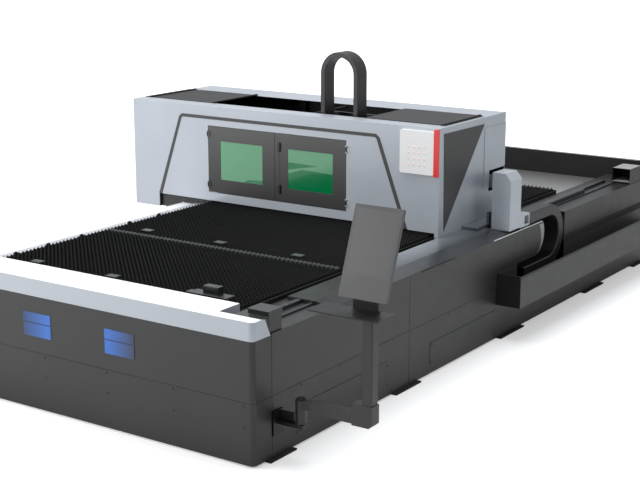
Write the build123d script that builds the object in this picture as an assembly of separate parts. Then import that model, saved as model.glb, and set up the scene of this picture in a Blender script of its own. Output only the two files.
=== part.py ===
from build123d import *
import math
import os

os.makedirs("parts", exist_ok=True)

# Fiber laser cutting machine: a long bed with a toothed support table, a covered gantry that slides along it, a
# carriage and a cutting head inside the cover, and an operator arm at the front right corner.
# Millimetres. X is across the bed, Z is up, and every Y below is measured from the front end of the bed frame.
# HALF_LENGTH moves the finished solids back, so the origin lies under the middle of the bed.

# Driving dimensions of the bed
BED_LENGTH = 6200.0
HALF_LENGTH = BED_LENGTH / 2
BED_HALF_WIDTH = 1453.0
FRONT_FACE = -30.0
WALL_TOP = 808.0
SEAM_Z = 410.0
SKIRT_Z = 12.0
SHEET = 4.0
CORNER_RADIUS = 32.0
SCREW_RADIUS = 7.0
SCREW_HEIGHT = 2.5
FRONT_PANEL_END = 158.0
TRIM_TOP = 919.0
TRIM_BOTTOM = 800.0
TRIM_DEPTH = 270.0
TRIM_NARROW_DEPTH = 62.0
BEAM_WIDTH = 383.0
BEAM_WALL = 12.0
BEAM_BOTTOM = 560.0
REAR_WALL_TOP = 966.0
REAR_WALL_DEPTH = 50.0

# Lines across the bed that follow its width
INNER_FACE = BED_HALF_WIDTH - SHEET
BEAM_OUTER = INNER_FACE
BEAM_INNER = BEAM_OUTER - BEAM_WIDTH
TRIM_DEEP_END = BED_HALF_WIDTH - 323
RAIL_IN = BEAM_INNER + 114
RAIL_OUT = RAIL_IN + 36
RACK_IN = BED_HALF_WIDTH - 169
RACK_OUT = RACK_IN + 22
WELL_IN = BED_HALF_WIDTH - 157
SHROUD_IN = BED_HALF_WIDTH - 213
SHROUD_OUT = SHROUD_IN + 35
SHROUD_START = 3700.0
SHROUD_TOP = 848.0

# Driving dimensions of the guides and end boxes
RAIL_TOP = WALL_TOP + 22
RACK_TOP = WALL_TOP + 12
GUIDE_START = 330.0
GUIDE_END = BED_LENGTH - 460
REAR_WALL_Y = BED_LENGTH - REAR_WALL_DEPTH

# Driving dimensions of the support table
TABLE_LEFT = -BEAM_INNER - 110
TABLE_RIGHT = BEAM_INNER - 6
TABLE_FRONT = 330.0
TABLE_REAR = BED_LENGTH - 1190
TABLE_TOP = 860.0
BLADE_PITCH = 38.0
BLADE_THICK = 3.0
BLADE_DEPTH = 110.0
LIP_Z = WALL_TOP + 5
CLAMP_LEFT = TABLE_RIGHT - 405
CLAMP_RIGHT = CLAMP_LEFT + 302
CLAMP_TOP = TABLE_TOP + 40

# Driving dimensions of the gantry cover
COVER_RIGHT = BEAM_INNER + 32
COVER_WIDTH = 3057.0
COVER_LEFT = COVER_RIGHT - COVER_WIDTH
COVER_FRONT = 2801.0
COVER_REAR = 3890.0
COVER_TOP = 1675.0
RAISED_THICK = 5.0
COVER_SIDE_BOTTOM = WALL_TOP + 4
COVER_FRONT_BOTTOM = 868.0
OVERHANG_BOTTOM = 752.0
RECESS_LEFT = COVER_LEFT + 273
RECESS_RIGHT = COVER_LEFT + 2789
OPENING_FRONT = 2960.0
OPENING_REAR = 3550.0
DOOR_LEFT_X = COVER_LEFT + 825
DOOR_SEAM_X = DOOR_LEFT_X + 694
DOOR_RIGHT_X = DOOR_SEAM_X + 698
DOOR_BOTTOM = 940.0
DOOR_TOP = 1510.0
DOOR_GAP = 3.0
DOOR_THICK = 28.0
HINGE_Y = COVER_FRONT - 7
HINGE_HEIGHTS = (980.0, 1410.0)
LATCH_X = DOOR_SEAM_X + 48
LATCH_HEIGHTS = (1047.0, 1396.0)

# Driving dimensions of the side energy chain and its well in the right wall
CHAIN_OUT = BED_HALF_WIDTH - 7
CHAIN_IN = CHAIN_OUT - 133
BEND_Y = 4070.0
BEND_Z = 649.0
BEND_OUTER = 262.0
BEND_INNER = 172.0
WELL_REAR = BEND_Y + BEND_OUTER + 4
WALL_ARC_Y = BEND_Y - 298
WALL_ARC_Z = 711.0
WALL_ARC_RADIUS = 170.0
WELL_FRONT_LOW = BEND_Y - 617
WELL_FRONT_HIGH = BEND_Y - 510
WELL_LOW_Z = 541.0

# Driving dimensions of the tray outside the wall
TRAY_OUT = BED_HALF_WIDTH + 207
TRAY_START = 3110.0
TRAY_BOTTOM = 286.0
TRAY_TOP = 540.0
TRAY_FLOOR = 400.0

# Driving dimensions of the beam, the carriage and the head
BEAM_LEFT = COVER_LEFT + 459
BEAM_FRONT = 3260.0
BEAM_BACK = 3520.0
BEAM_LOW = 1130.0
BEAM_HIGH = 1430.0
HEAD_X = DOOR_SEAM_X + 492
HEAD_Y = 3090.0
NOZZLE_TIP = 905.0
ARCH_TOP = 2172.0
ARCH_OUTER = 177.0
ARCH_INNER = 136.0
ARCH_FRONT = 3005.0
ARCH_WIDTH = 140.0

# Driving dimensions of the chain bracket
BRACKET_IN = CHAIN_IN - 30
BRACKET_OUT = CHAIN_OUT - 1
BRACKET_FRONT = 3323.0
BRACKET_BACK = 3512.0
ARM_LOW = 1075.0
ARM_HIGH = 1190.0

# Driving dimensions of the operator arm
KNUCKLE_X = BED_HALF_WIDTH + 155
ARM_Y = 245.0
POST_X = KNUCKLE_X + 493
SHELF_TOP = 1005.0
SHELF_THICK = 9.0
NECK_X = POST_X - 93
SCREEN_LEAN = 20.0
SCREEN_WIDTH = 330.0
SCREEN_HEIGHT = 555.0


def block(x0, x1, y0, y1, z0, z1):
    """Plain box between two corners, with Y measured from the front end."""
    centre = ((x0 + x1) / 2, (y0 + y1) / 2 - HALF_LENGTH, (z0 + z1) / 2)
    return Pos(*centre) * Box(abs(x1 - x0), abs(y1 - y0), abs(z1 - z0))


def rounded_block(x0, x1, y0, y1, z0, z1, radius, axis):
    """Box with its four edges along one axis rounded."""
    solid = block(x0, x1, y0, y1, z0, z1)
    return fillet(solid.edges().filter_by(axis), radius)


def rod(x, y, z, radius, length, axis="Z"):
    """Cylinder that starts at a point and runs along a positive axis."""
    base = Pos(x, y - HALF_LENGTH, z)
    turn = {"Z": Rot(0, 0, 0), "Y": Rot(-90, 0, 0), "X": Rot(0, 90, 0)}[axis]
    return base * turn * Pos(0, 0, length / 2) * Cylinder(radius, length)


def screw(x, y, z, axis):
    """Twelve-sided low screw head on a side panel or on the front panel."""
    turn = {"Y": Rot(-90, 0, 0), "X": Rot(0, 90, 0)}[axis]
    return Pos(x, y - HALF_LENGTH, z) * turn * extrude(RegularPolygon(SCREW_RADIUS, 12), amount=SCREW_HEIGHT)


def tube(x, y, z, outer, inner, length, axis="Z"):
    """Open tube with a bore through its whole length."""
    return rod(x, y, z, outer, length, axis) - rod(x, y, z, inner, length, axis)


def plate_xz(points, y0, y1):
    """Plate with an outline in X and Z, from one Y to another."""
    face = make_face(Polyline(*[(x, 0, z) for x, z in points], close=True))
    return Pos(0, y0 - HALF_LENGTH, 0) * extrude(face, amount=y1 - y0, dir=(0, 1, 0))


def plate_yz(points, x0, x1):
    """Plate with an outline in Y and Z, from one X to another."""
    face = make_face(Polyline(*[(0, y - HALF_LENGTH, z) for y, z in points], close=True))
    return Pos(x0, 0, 0) * extrude(face, amount=x1 - x0, dir=(1, 0, 0))


def mirrored(solids):
    """The same solids on the other side of the bed."""
    return [mirror(solid, about=Plane.YZ) for solid in solids]


NODES = {}


def keep(name, *solids):
    """Put the separate solids of one node together under its name."""
    flat = []
    for item in solids:
        if isinstance(item, (list, tuple)):
            flat.extend(item)
        else:
            flat.append(item)
    pieces = []
    for item in flat:
        pieces.extend(item.solids())
    NODES[name] = Compound(children=pieces)


def front_wall(z0, z1):
    """Front panel that turns round both rounded corners."""
    outer = block(-BED_HALF_WIDTH, BED_HALF_WIDTH, FRONT_FACE, 400, z0, z1)
    front_edges = outer.edges().filter_by(Axis.Z).sort_by(Axis.Y)[:2]
    outer = fillet(front_edges, CORNER_RADIUS)
    inner = block(-INNER_FACE, INNER_FACE, FRONT_FACE + SHEET, 400, z0 - 1, z1 + 1)
    front_edges = inner.edges().filter_by(Axis.Z).sort_by(Axis.Y)[:2]
    inner = fillet(front_edges, CORNER_RADIUS - SHEET)
    past = BED_HALF_WIDTH + 10
    return outer - inner - block(-past, past, FRONT_PANEL_END, 500, z0 - 1, z1 + 1)


def bed_panels():
    """Outer sheet panels of the bed, with the seams between them."""
    past = BED_HALF_WIDTH + 1
    upper = front_wall(SEAM_Z + 2, TRIM_BOTTOM)
    lower = front_wall(SKIRT_Z, SEAM_Z)
    recess = block(BED_HALF_WIDTH - 30, past, 152, 266, 150, 315)
    keep("front_panel_upper", upper)
    keep("front_panel_lower", lower - recess)

    side = block(INNER_FACE, BED_HALF_WIDTH, FRONT_PANEL_END + 2, BED_LENGTH, SEAM_Z + 2, WALL_TOP)
    left = mirror(side, about=Plane.YZ)
    well = block(INNER_FACE - 1, past, WALL_ARC_Y, WELL_REAR, SEAM_Z, WALL_TOP + 1)
    well += block(INNER_FACE - 1, past, WELL_FRONT_LOW, WELL_REAR, SEAM_Z, WELL_LOW_Z)
    arc_end = rod(INNER_FACE - 2, WALL_ARC_Y, WALL_ARC_Z, WALL_ARC_RADIUS, SHEET + 4, "X")
    arc_end &= block(INNER_FACE - 3, past + 1, WALL_ARC_Y, WELL_REAR, WELL_LOW_Z, WALL_TOP)
    keep("side_panels_upper", side - (well - arc_end), left)

    low = block(INNER_FACE, BED_HALF_WIDTH, FRONT_PANEL_END + 2, BED_LENGTH, SKIRT_Z, SEAM_Z)
    low_left = mirror(low, about=Plane.YZ)
    low -= recess
    low -= block(INNER_FACE - 1, past, WELL_FRONT_LOW, WELL_REAR, TRAY_FLOOR - 20, SEAM_Z + 1)
    keep("side_panels_lower", low, low_left)

    covers = [
        block(BED_HALF_WIDTH, BED_HALF_WIDTH + 3, 420, 1508, 75, 270),
        block(BED_HALF_WIDTH, BED_HALF_WIDTH + 3, 2086, TRAY_START - 8, 75, 245),
    ]
    keep("access_covers", covers, mirrored(covers))

    screws = []
    for y, z in ((445, 95), (445, 250), (1494, 95), (1494, 235), (2111, 95), (2111, 225), (3077, 83), (3077, 234)):
        screws.append(screw(BED_HALF_WIDTH + 3, y, z, "X"))
    for y, z in ((474, 394), (907, 396), (1820, 392), (2356, 397), (2882, 390)):
        screws.append(screw(BED_HALF_WIDTH, y, z, "X"))
    left_screws = mirrored(screws)
    for share in (-0.19, 0.19, 0.57, 0.95):
        for z in (389, 250):
            screws.append(screw(share * BED_HALF_WIDTH, FRONT_FACE - SCREW_HEIGHT, z, "Y"))
    keep("panel_screws", screws, left_screws)

    lamps = []
    for x in (-459, 270):
        lamps.append(block(x, x + 250, FRONT_FACE - 3, FRONT_FACE, 522, 613))
        lamps.append(block(x, x + 250, FRONT_FACE - 3, FRONT_FACE, 619, 686))
    keep("sign_fields", lamps)


def front_trim():
    """Folded silver cover over the front end, deep in the middle and narrow at each corner, with sloped ends."""
    outer = block(-BED_HALF_WIDTH, BED_HALF_WIDTH, FRONT_FACE, TRIM_DEPTH, TRIM_BOTTOM, TRIM_TOP)
    outer = fillet(outer.edges().filter_by(Axis.Z).sort_by(Axis.Y)[:2], CORNER_RADIUS)
    inner = block(-INNER_FACE, INNER_FACE, FRONT_FACE + SHEET, TRIM_DEPTH + 1, TRIM_BOTTOM - 1, TRIM_TOP - SHEET)
    inner = fillet(inner.edges().filter_by(Axis.Z).sort_by(Axis.Y)[:2], CORNER_RADIUS - SHEET)
    shell = outer - inner
    for sign in (-1, 1):
        a = sign * TRIM_DEEP_END
        b = sign * (BED_HALF_WIDTH + 1)
        shell -= block(min(a, b), max(a, b), TRIM_NARROW_DEPTH, TRIM_DEPTH + 1, TRIM_BOTTOM - 1, TRIM_TOP + 1)
    shell += block(-TRIM_DEEP_END, TRIM_DEEP_END, TRIM_DEPTH - SHEET, TRIM_DEPTH, TRIM_BOTTOM + 30, TRIM_TOP)
    for sign in (-1, 1):
        a = sign * TRIM_DEEP_END
        b = sign * (TRIM_DEEP_END - SHEET)
        shell += block(min(a, b), max(a, b), FRONT_FACE + SHEET, TRIM_DEPTH, TRIM_BOTTOM + 30, TRIM_TOP)
    end = [(TRIM_NARROW_DEPTH - 1, TRIM_BOTTOM), (148, TRIM_BOTTOM), (96, TRIM_TOP - 8), (TRIM_NARROW_DEPTH - 1, TRIM_TOP)]
    right_end = plate_yz(end, INNER_FACE, BED_HALF_WIDTH)
    shell += right_end
    shell += mirror(right_end, about=Plane.YZ)
    keep("front_trim", shell)


def leg_lines():
    """Y of the front edge of each leg of the side beams."""
    return (100, 1600, 2900, 3300, BED_LENGTH - 1300, BED_LENGTH - 200)


def beams():
    """Two hollow side beams, the cross members between them, the feet and the floor trays."""
    end = BED_LENGTH - 60
    right = block(BEAM_INNER, BEAM_OUTER, 60, end, BEAM_BOTTOM, WALL_TOP)
    right -= block(BEAM_INNER + BEAM_WALL, BEAM_OUTER - BEAM_WALL, 60 + BEAM_WALL, end - BEAM_WALL,
                   BEAM_BOTTOM + BEAM_WALL, WALL_TOP - BEAM_WALL)
    for y in leg_lines():
        right += block(BEAM_INNER + 60, BEAM_OUTER, y, y + 110, SKIRT_Z, BEAM_BOTTOM)
    left = mirror(right, about=Plane.YZ)
    past = BED_HALF_WIDTH + 17
    right -= block(BED_HALF_WIDTH - 24, BED_HALF_WIDTH - 3, 158, 270, 150, 316)
    right -= block(WELL_IN, past, WELL_FRONT_LOW + 4, WELL_REAR, TRAY_FLOOR - 25, 600)
    right -= block(WELL_IN, past, WELL_FRONT_HIGH, WELL_REAR, TRAY_FLOOR - 25, WALL_TOP + 1)
    right += block(WELL_IN - BEAM_WALL, WELL_IN, WELL_FRONT_HIGH - BEAM_WALL, WELL_REAR + BEAM_WALL,
                   BEAM_BOTTOM + BEAM_WALL, WALL_TOP)
    keep("side_beams", right, left)
    members = []
    for y in (340, 1620, 2920, TABLE_REAR - 320, BED_LENGTH - 190):
        members.append(block(-BEAM_INNER, BEAM_INNER, y, y + 90, 480, 600))
        if y < TABLE_REAR:
            members[-1] += block(TABLE_RIGHT - 60, TABLE_RIGHT - 5, y, y + 90, 600, 640)
            members[-1] += block(-BEAM_INNER + 6, -BEAM_INNER + 66, y, y + 90, 600, 640)
    for x in (-700, 700):
        members.append(block(x - 40, x + 40, 430, BED_LENGTH - 190, TRAY_FLOOR, 480))
    keep("cross_members", members)
    pads = []
    for y0, y1 in ((100, 375), (1575, 1913), (3156, 3564), (BED_LENGTH - 1435, BED_LENGTH - 1032),
                   (BED_LENGTH - 320, BED_LENGTH - 80)):
        pads.append(block(BED_HALF_WIDTH - 153, BED_HALF_WIDTH + 32, y0, y1, 0, SKIRT_Z))
    keep("foot_pads", pads, mirrored(pads))
    rim = BEAM_INNER - 16
    tray = block(-rim, rim, 460, BED_LENGTH - 220, TRAY_FLOOR - 8, TRAY_FLOOR)
    tray += block(-rim, -rim + 8, 460, BED_LENGTH - 220, TRAY_FLOOR, 470)
    tray += block(rim - 8, rim, 460, BED_LENGTH - 220, TRAY_FLOOR, 470)
    keep("scrap_tray", tray)


def guides():
    """Guide rails, racks, end caps and end boxes on the two beams, and the rear wall and floor."""
    rails = block(RAIL_IN, RAIL_OUT, GUIDE_START, GUIDE_END, WALL_TOP, RAIL_TOP)
    keep("guide_rails", rails, mirrored([rails]))
    rack = block(RACK_IN, RACK_OUT, GUIDE_START, GUIDE_END, WALL_TOP, RACK_TOP)
    keep("racks", rack, mirrored([rack]))
    shroud = block(SHROUD_IN, SHROUD_OUT, SHROUD_START, BED_LENGTH - 1056, WALL_TOP, SHROUD_TOP)
    keep("rack_shrouds", shroud, mirrored([shroud]))
    low_left, low_right = BED_HALF_WIDTH - 241, BED_HALF_WIDTH - 13
    lid_left, lid_right = BED_HALF_WIDTH - 163, BED_HALF_WIDTH - 5
    cap = block(low_left, low_right, TRIM_NARROW_DEPTH, 230, WALL_TOP, 905)
    cap += block(lid_left + 6, lid_right - 6, 150, 280, WALL_TOP, 914)
    cap += block(lid_left, lid_right, 140, 280, 914, 947)
    cap -= block(low_left + 6, low_right - 6, TRIM_NARROW_DEPTH + 6, 224, WALL_TOP - 1, 899)
    cap -= block(lid_left + 12, lid_right - 12, 156, 274, WALL_TOP - 1, 941)
    keep("front_end_caps", cap, mirrored([cap]))
    box_left = BED_HALF_WIDTH - 177
    end_box = block(box_left, BED_HALF_WIDTH - 3, BED_LENGTH - 450, BED_LENGTH - 190, WALL_TOP, 950)
    end_box -= block(box_left + 6, BED_HALF_WIDTH - 9, BED_LENGTH - 451, BED_LENGTH - 196, WALL_TOP + 22, 944)
    keep("rear_end_boxes", end_box, mirrored([end_box]))
    wall = block(-INNER_FACE, INNER_FACE, REAR_WALL_Y, BED_LENGTH, SKIRT_Z, REAR_WALL_TOP)
    wall -= block(-INNER_FACE + 6, INNER_FACE - 6, REAR_WALL_Y + 6, BED_LENGTH + 1, SKIRT_Z + 30, REAR_WALL_TOP - 6)
    wall -= block(BEAM_INNER - 1, INNER_FACE + 1, REAR_WALL_Y - 1, BED_LENGTH - 59, SKIRT_Z - 1, WALL_TOP)
    wall -= block(-INNER_FACE - 1, -BEAM_INNER + 1, REAR_WALL_Y - 1, BED_LENGTH - 59, SKIRT_Z - 1, WALL_TOP)
    keep("rear_wall", wall)
    floor = block(-BEAM_INNER, BEAM_INNER, TABLE_REAR + 30, REAR_WALL_Y, 744, 750)
    floor -= block(BEAM_INNER - 151, BEAM_INNER - 101, BED_LENGTH - 300, BED_LENGTH - 265, 740, 760)
    keep("rear_floor_plate", floor)


def support_table():
    """Pallet frame with its blades, the light tabs and the round stops on its left edge."""
    x0, x1 = TABLE_LEFT, TABLE_RIGHT
    low = TABLE_TOP - BLADE_DEPTH
    base = low - 110
    rail_z = low - 60
    rim = TABLE_TOP - 24
    inner_left = -BEAM_INNER + 1
    frame = block(inner_left, x1, TABLE_FRONT, TABLE_REAR, base, rim)
    frame -= block(inner_left + 8, x1 - 8, TABLE_FRONT + 8, TABLE_REAR - 8, rail_z, TABLE_TOP)
    frame -= block(inner_left + 65, x1 - 70, TABLE_FRONT + 70, TABLE_REAR - 70, base - 1, TABLE_TOP)
    span = TABLE_REAR - TABLE_FRONT
    for number in range(1, 6):
        y = TABLE_FRONT + span * number / 6
        frame += block(inner_left, x1 - 8, y - 30, y + 30, base, rail_z)
    lip = block(x0, inner_left + 12, TABLE_FRONT, TABLE_REAR, LIP_Z, rim)
    lip -= block(x0 + 8, inner_left + 13, TABLE_FRONT + 8, TABLE_REAR - 8, LIP_Z + 4, TABLE_TOP)
    frame += lip
    frame -= block(inner_left + 8, inner_left + 13, TABLE_FRONT + 8, TABLE_REAR - 8, LIP_Z - 1, TABLE_TOP)
    stops = []
    for y in (600, 930, 1285, 1830, 2190):
        disc = rod(x0, y, rim, 24, 8, "X")
        stops.append(disc & block(x0, x0 + 10, y - 30, y + 30, rim, TABLE_TOP + 10))
    keep("pallet_frame", frame, stops)
    count = int((x1 - x0 - 40) // BLADE_PITCH) + 1
    start = (x0 + x1) / 2 - (count - 1) * BLADE_PITCH / 2
    blades = []
    for number in range(count):
        x = start + number * BLADE_PITCH
        bottom = low
        if x < inner_left - 3:
            bottom = LIP_Z + 4
        elif x < inner_left + 12:
            bottom = rim
        blades.append(block(x - BLADE_THICK / 2, x + BLADE_THICK / 2, TABLE_FRONT + 8, TABLE_REAR - 8, bottom,
                            TABLE_TOP))
    keep("support_blades", blades)
    comb = []
    for y, top in ((1538, TABLE_TOP - 2), (2660, TABLE_TOP - 40), (3780, TABLE_TOP - 40)):
        for number in range(count - 1):
            x = start + number * BLADE_PITCH
            bottom = top - 30
            if x < inner_left + 12:
                bottom = rim
            if bottom < top:
                comb.append(block(x + BLADE_THICK / 2, x + BLADE_PITCH - BLADE_THICK / 2, y, y + 6, bottom, top))
    keep("comb_bars", comb)
    tabs = []
    for y in (486, 1665):
        for x in (-832, -119, 589):
            tabs.append(block(x - 45, x + 45, y - 30, y + 30, TABLE_TOP, TABLE_TOP + 4))
    keep("pallet_tabs", tabs)
    middle = (CLAMP_LEFT + CLAMP_RIGHT) / 2
    clamp = block(middle - 100, middle + 100, 365, 433, TABLE_TOP, CLAMP_TOP - 7)
    clamp += block(CLAMP_LEFT, CLAMP_RIGHT, 351, 447, CLAMP_TOP - 7, CLAMP_TOP)
    clamp += block(middle - 46, middle + 74, 370, 428, CLAMP_TOP, CLAMP_TOP + 55)
    keep("table_clamp", clamp)


def cable_side():
    """Tray outside the wall and the side energy chain with its bend in the well."""
    wall = BED_HALF_WIDTH
    tray = block(wall, TRAY_OUT, TRAY_START, BED_LENGTH, TRAY_BOTTOM, TRAY_TOP)
    top_edge = tray.edges().filter_by(Axis.Y).group_by(Axis.X)[-1].sort_by(Axis.Z)[-1]
    tray = fillet(top_edge, 20)
    tray -= block(wall + 5, TRAY_OUT - 8, TRAY_START + 8, BED_LENGTH + 1, TRAY_FLOOR, TRAY_TOP + 1)
    tray -= block(wall - 1, TRAY_OUT - 6, TRAY_START + 6, BED_LENGTH + 1, TRAY_BOTTOM - 1, TRAY_FLOOR - 6)
    tray -= block(wall - 1, wall + 6, WELL_FRONT_LOW, WELL_REAR, TRAY_FLOOR + 1, TRAY_TOP + 1)
    shelf = block(WELL_IN + 4, wall, WELL_FRONT_LOW + 7, WELL_REAR, 377, 387)
    shelf -= block(INNER_FACE - 0.1, wall + 1, WELL_FRONT_LOW, WELL_REAR + 1, 370, 380)
    keep("cable_tray", tray, shelf)

    upper = block(CHAIN_IN, CHAIN_OUT, BEND_Y - 393, BEND_Y, BEND_Z + BEND_INNER, BEND_Z + BEND_OUTER)
    lower = block(CHAIN_IN, CHAIN_OUT, BEND_Y - 470, BEND_Y, BEND_Z - BEND_OUTER, BEND_Z - BEND_INNER)
    bend = rod(CHAIN_IN, BEND_Y, BEND_Z, BEND_OUTER, CHAIN_OUT - CHAIN_IN, "X")
    bend -= rod(CHAIN_IN - 1, BEND_Y, BEND_Z, BEND_INNER, CHAIN_OUT - CHAIN_IN + 2, "X")
    bend &= block(CHAIN_IN - 1, CHAIN_OUT + 1, BEND_Y, BEND_Y + 400, 300, 1000)
    keep("side_energy_chain", upper + bend + lower)


def arm_bracket():
    """Wall bracket in its recess, with the upright pin of the arm."""
    wall = BED_HALF_WIDTH
    plate = block(wall - 23, wall + 8, 162, 266, 155, 310)
    lug = block(wall + 8, KNUCKLE_X + 32, 215, 275, 216, 240)
    rib = block(wall + 8, KNUCKLE_X - 48, 237, 253, 240, 300)
    pin = rod(KNUCKLE_X, ARM_Y, 240, 14, 162)
    cap = rod(KNUCKLE_X, ARM_Y, 398.4, 26, 8)
    washer = tube(KNUCKLE_X, ARM_Y, 240, 26, 14, 3.6)
    keep("arm_wall_bracket", plate + lug + rib + pin + cap + washer)


def gantry_cover():
    """Sheet shell of the gantry cover with its front strip, skirt, top plates and control unit."""
    wall = BED_HALF_WIDTH
    shell = block(COVER_LEFT, COVER_RIGHT, COVER_FRONT, COVER_REAR, OVERHANG_BOTTOM, COVER_TOP)
    shell -= block(COVER_LEFT + SHEET, COVER_RIGHT - SHEET, COVER_FRONT + SHEET, COVER_REAR - SHEET,
                   OVERHANG_BOTTOM - 1, COVER_TOP - SHEET)
    shell -= block(-wall - 4, COVER_RIGHT + 1, 2700, 4000, OVERHANG_BOTTOM - 1, COVER_SIDE_BOTTOM)
    shell -= block(-wall - 4, COVER_RIGHT - SHEET, COVER_FRONT + SHEET, 4000, OVERHANG_BOTTOM - 1, COVER_FRONT_BOTTOM)
    shell -= block(RECESS_LEFT, RECESS_RIGHT, 2700, COVER_FRONT + 10, OVERHANG_BOTTOM - 1, COVER_FRONT_BOTTOM)
    shell -= block(RECESS_RIGHT, TABLE_RIGHT + 4, 2700, COVER_FRONT + 10, OVERHANG_BOTTOM - 1, TABLE_TOP + 3)
    shell -= block(COVER_LEFT + 20, COVER_RIGHT - 50, OPENING_FRONT, OPENING_REAR, COVER_TOP - 10, COVER_TOP + 5)
    shell -= block(DOOR_LEFT_X, DOOR_RIGHT_X, 2700, COVER_FRONT + 10, DOOR_BOTTOM, DOOR_TOP)
    shell -= block(COVER_RIGHT - 10, COVER_RIGHT + 5, 3618, COVER_REAR - 5, ARM_LOW - 13, ARM_HIGH + 40)
    shell -= block(COVER_RIGHT - 10, COVER_RIGHT + 5, 3179, 3601, WALL_TOP + 27, WALL_TOP + 49)
    keep("cover_shell", shell)

    outer = [(-1690, 868), (-1444, 1565), (-1413, 1591), (531, 1588), (567, 1561), (826, 868)]
    inner = [(792, 868), (537, 1550), (522, 1561), (-1405, 1564), (-1420, 1550), (-1655, 868)]
    offset = COVER_LEFT + 1959
    outline = [(x + offset, z) for x, z in outer + inner]
    keep("front_strip", plate_xz(outline, COVER_FRONT - 2, COVER_FRONT))

    skirt_y = COVER_FRONT + 29
    skirt_top = COVER_FRONT_BOTTOM + 20
    skirt = block(RECESS_LEFT, -wall - 4, skirt_y, skirt_y + 4, OVERHANG_BOTTOM, skirt_top)
    over_beam = block(-wall - 4, TABLE_LEFT - 12, skirt_y, skirt_y + 4, WALL_TOP + 4, skirt_top)
    over_beam -= block(-RACK_OUT - 4, -RACK_IN + 4, skirt_y - 1, skirt_y + 5, WALL_TOP, RACK_TOP + 4)
    over_beam -= block(-RAIL_OUT - 4, -RAIL_IN + 4, skirt_y - 1, skirt_y + 5, WALL_TOP, RAIL_TOP + 4)
    over_beam -= block(-SHROUD_OUT - 4, -SHROUD_IN + 4, skirt_y - 1, skirt_y + 5, WALL_TOP, SHROUD_TOP + 4)
    skirt += over_beam
    skirt += block(TABLE_LEFT - 12, COVER_RIGHT - 8, skirt_y, skirt_y + 4, TABLE_TOP + 6, skirt_top)
    skirt += block(RECESS_LEFT - 4, RECESS_LEFT, COVER_FRONT + SHEET, skirt_y + 4, OVERHANG_BOTTOM, skirt_top)
    skirt += block(RECESS_LEFT, COVER_RIGHT - 8, COVER_FRONT + SHEET, skirt_y + 4, skirt_top - 4, skirt_top)
    keep("dust_skirt", skirt)

    bars = []
    left_bar, middle_bar, right_bar = COVER_LEFT + 80, COVER_LEFT + 775, COVER_RIGHT - 62
    for x in (left_bar, middle_bar, right_bar):
        bars.append(block(x - 12, x + 12, OPENING_FRONT - 19, OPENING_REAR + 12, COVER_TOP, COVER_TOP + 14))
    bars.append(block(left_bar + 12, middle_bar - 12, OPENING_FRONT - 10, OPENING_REAR + 10, COVER_TOP, COVER_TOP + 5))
    bars.append(block(COVER_LEFT + 12, left_bar - 12, OPENING_FRONT - 10, OPENING_REAR + 10, COVER_TOP, COVER_TOP + 5))
    bars.append(block(right_bar + 12, COVER_RIGHT - 32, OPENING_FRONT - 10, OPENING_REAR + 10, COVER_TOP,
                      COVER_TOP + 5))
    keep("top_bars", bars)
    keep("top_slat_cover", block(HEAD_X + 290, right_bar - 12, OPENING_FRONT - 10, OPENING_REAR + 10, COVER_TOP,
                                 COVER_TOP + 7))

    triangle = [(2864, 1628), (3518, 1622), (2885, 870)]
    keep("side_triangle_plate", plate_yz(triangle, COVER_RIGHT, COVER_RIGHT + 3))
    sheet = block(COVER_RIGHT, COVER_RIGHT + RAISED_THICK, 3525, COVER_REAR - 1, 1089, 1592)
    sheet -= block(COVER_RIGHT - 1, COVER_RIGHT + RAISED_THICK + 1, 3615, COVER_REAR, 1088, ARM_HIGH + 45)
    keep("side_raised_sheet", sheet)
    unit_left, unit_right = COVER_RIGHT - 335, COVER_RIGHT - 38
    unit = rounded_block(unit_left, unit_right, COVER_FRONT - 26, COVER_FRONT, 1315, 1649, 16, Axis.Y)
    keep("control_unit", unit)
    cap = rounded_block(unit_right + 2, COVER_RIGHT, COVER_FRONT - 28, COVER_FRONT, 1304, 1670, 15, Axis.Y)
    keep("control_unit_cap", cap)

    ribs = []
    for x in (COVER_LEFT + 259, COVER_LEFT + 1059, COVER_RIGHT - 538):
        upright = block(x, x + 40, COVER_REAR - 44, COVER_REAR - SHEET, 1380, COVER_TOP - SHEET)
        if x > BEAM_LEFT:
            upright += block(x, x + 40, BEAM_BACK, COVER_REAR - 44, 1380, 1420)
        ribs.append(upright)
    back = COVER_FRONT + SHEET
    for x0, x1, z0, z1 in (
        (DOOR_LEFT_X - 40, DOOR_RIGHT_X + 40, DOOR_TOP, DOOR_TOP + 30),
        (DOOR_LEFT_X - 40, DOOR_RIGHT_X + 40, DOOR_BOTTOM - 30, DOOR_BOTTOM),
        (DOOR_LEFT_X - 40, DOOR_LEFT_X, DOOR_BOTTOM, DOOR_TOP),
        (DOOR_RIGHT_X, DOOR_RIGHT_X + 40, DOOR_BOTTOM, DOOR_TOP),
    ):
        ribs.append(block(x0, x1, back, back + 4, z0, z1))
    for hinge_x, side in ((DOOR_LEFT_X, -1), (DOOR_RIGHT_X, 1)):
        for z in HINGE_HEIGHTS:
            edge = hinge_x + side * 30
            near = hinge_x + side * 6.5
            leaf = block(min(edge, near), max(edge, near), COVER_FRONT - 2, COVER_FRONT, z, z + 60)
            pin = rod(hinge_x, HINGE_Y, z, 3, 60)
            for lug_z in (z, z + 50):
                inner_x = hinge_x + side * 12
                lug = block(min(inner_x, hinge_x), max(inner_x, hinge_x), HINGE_Y - 5, COVER_FRONT, lug_z, lug_z + 10)
                leaf += lug + rod(hinge_x, HINGE_Y, lug_z, 6, 10)
            ribs.append(leaf + pin)
    keep("cover_ribs", ribs)


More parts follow.
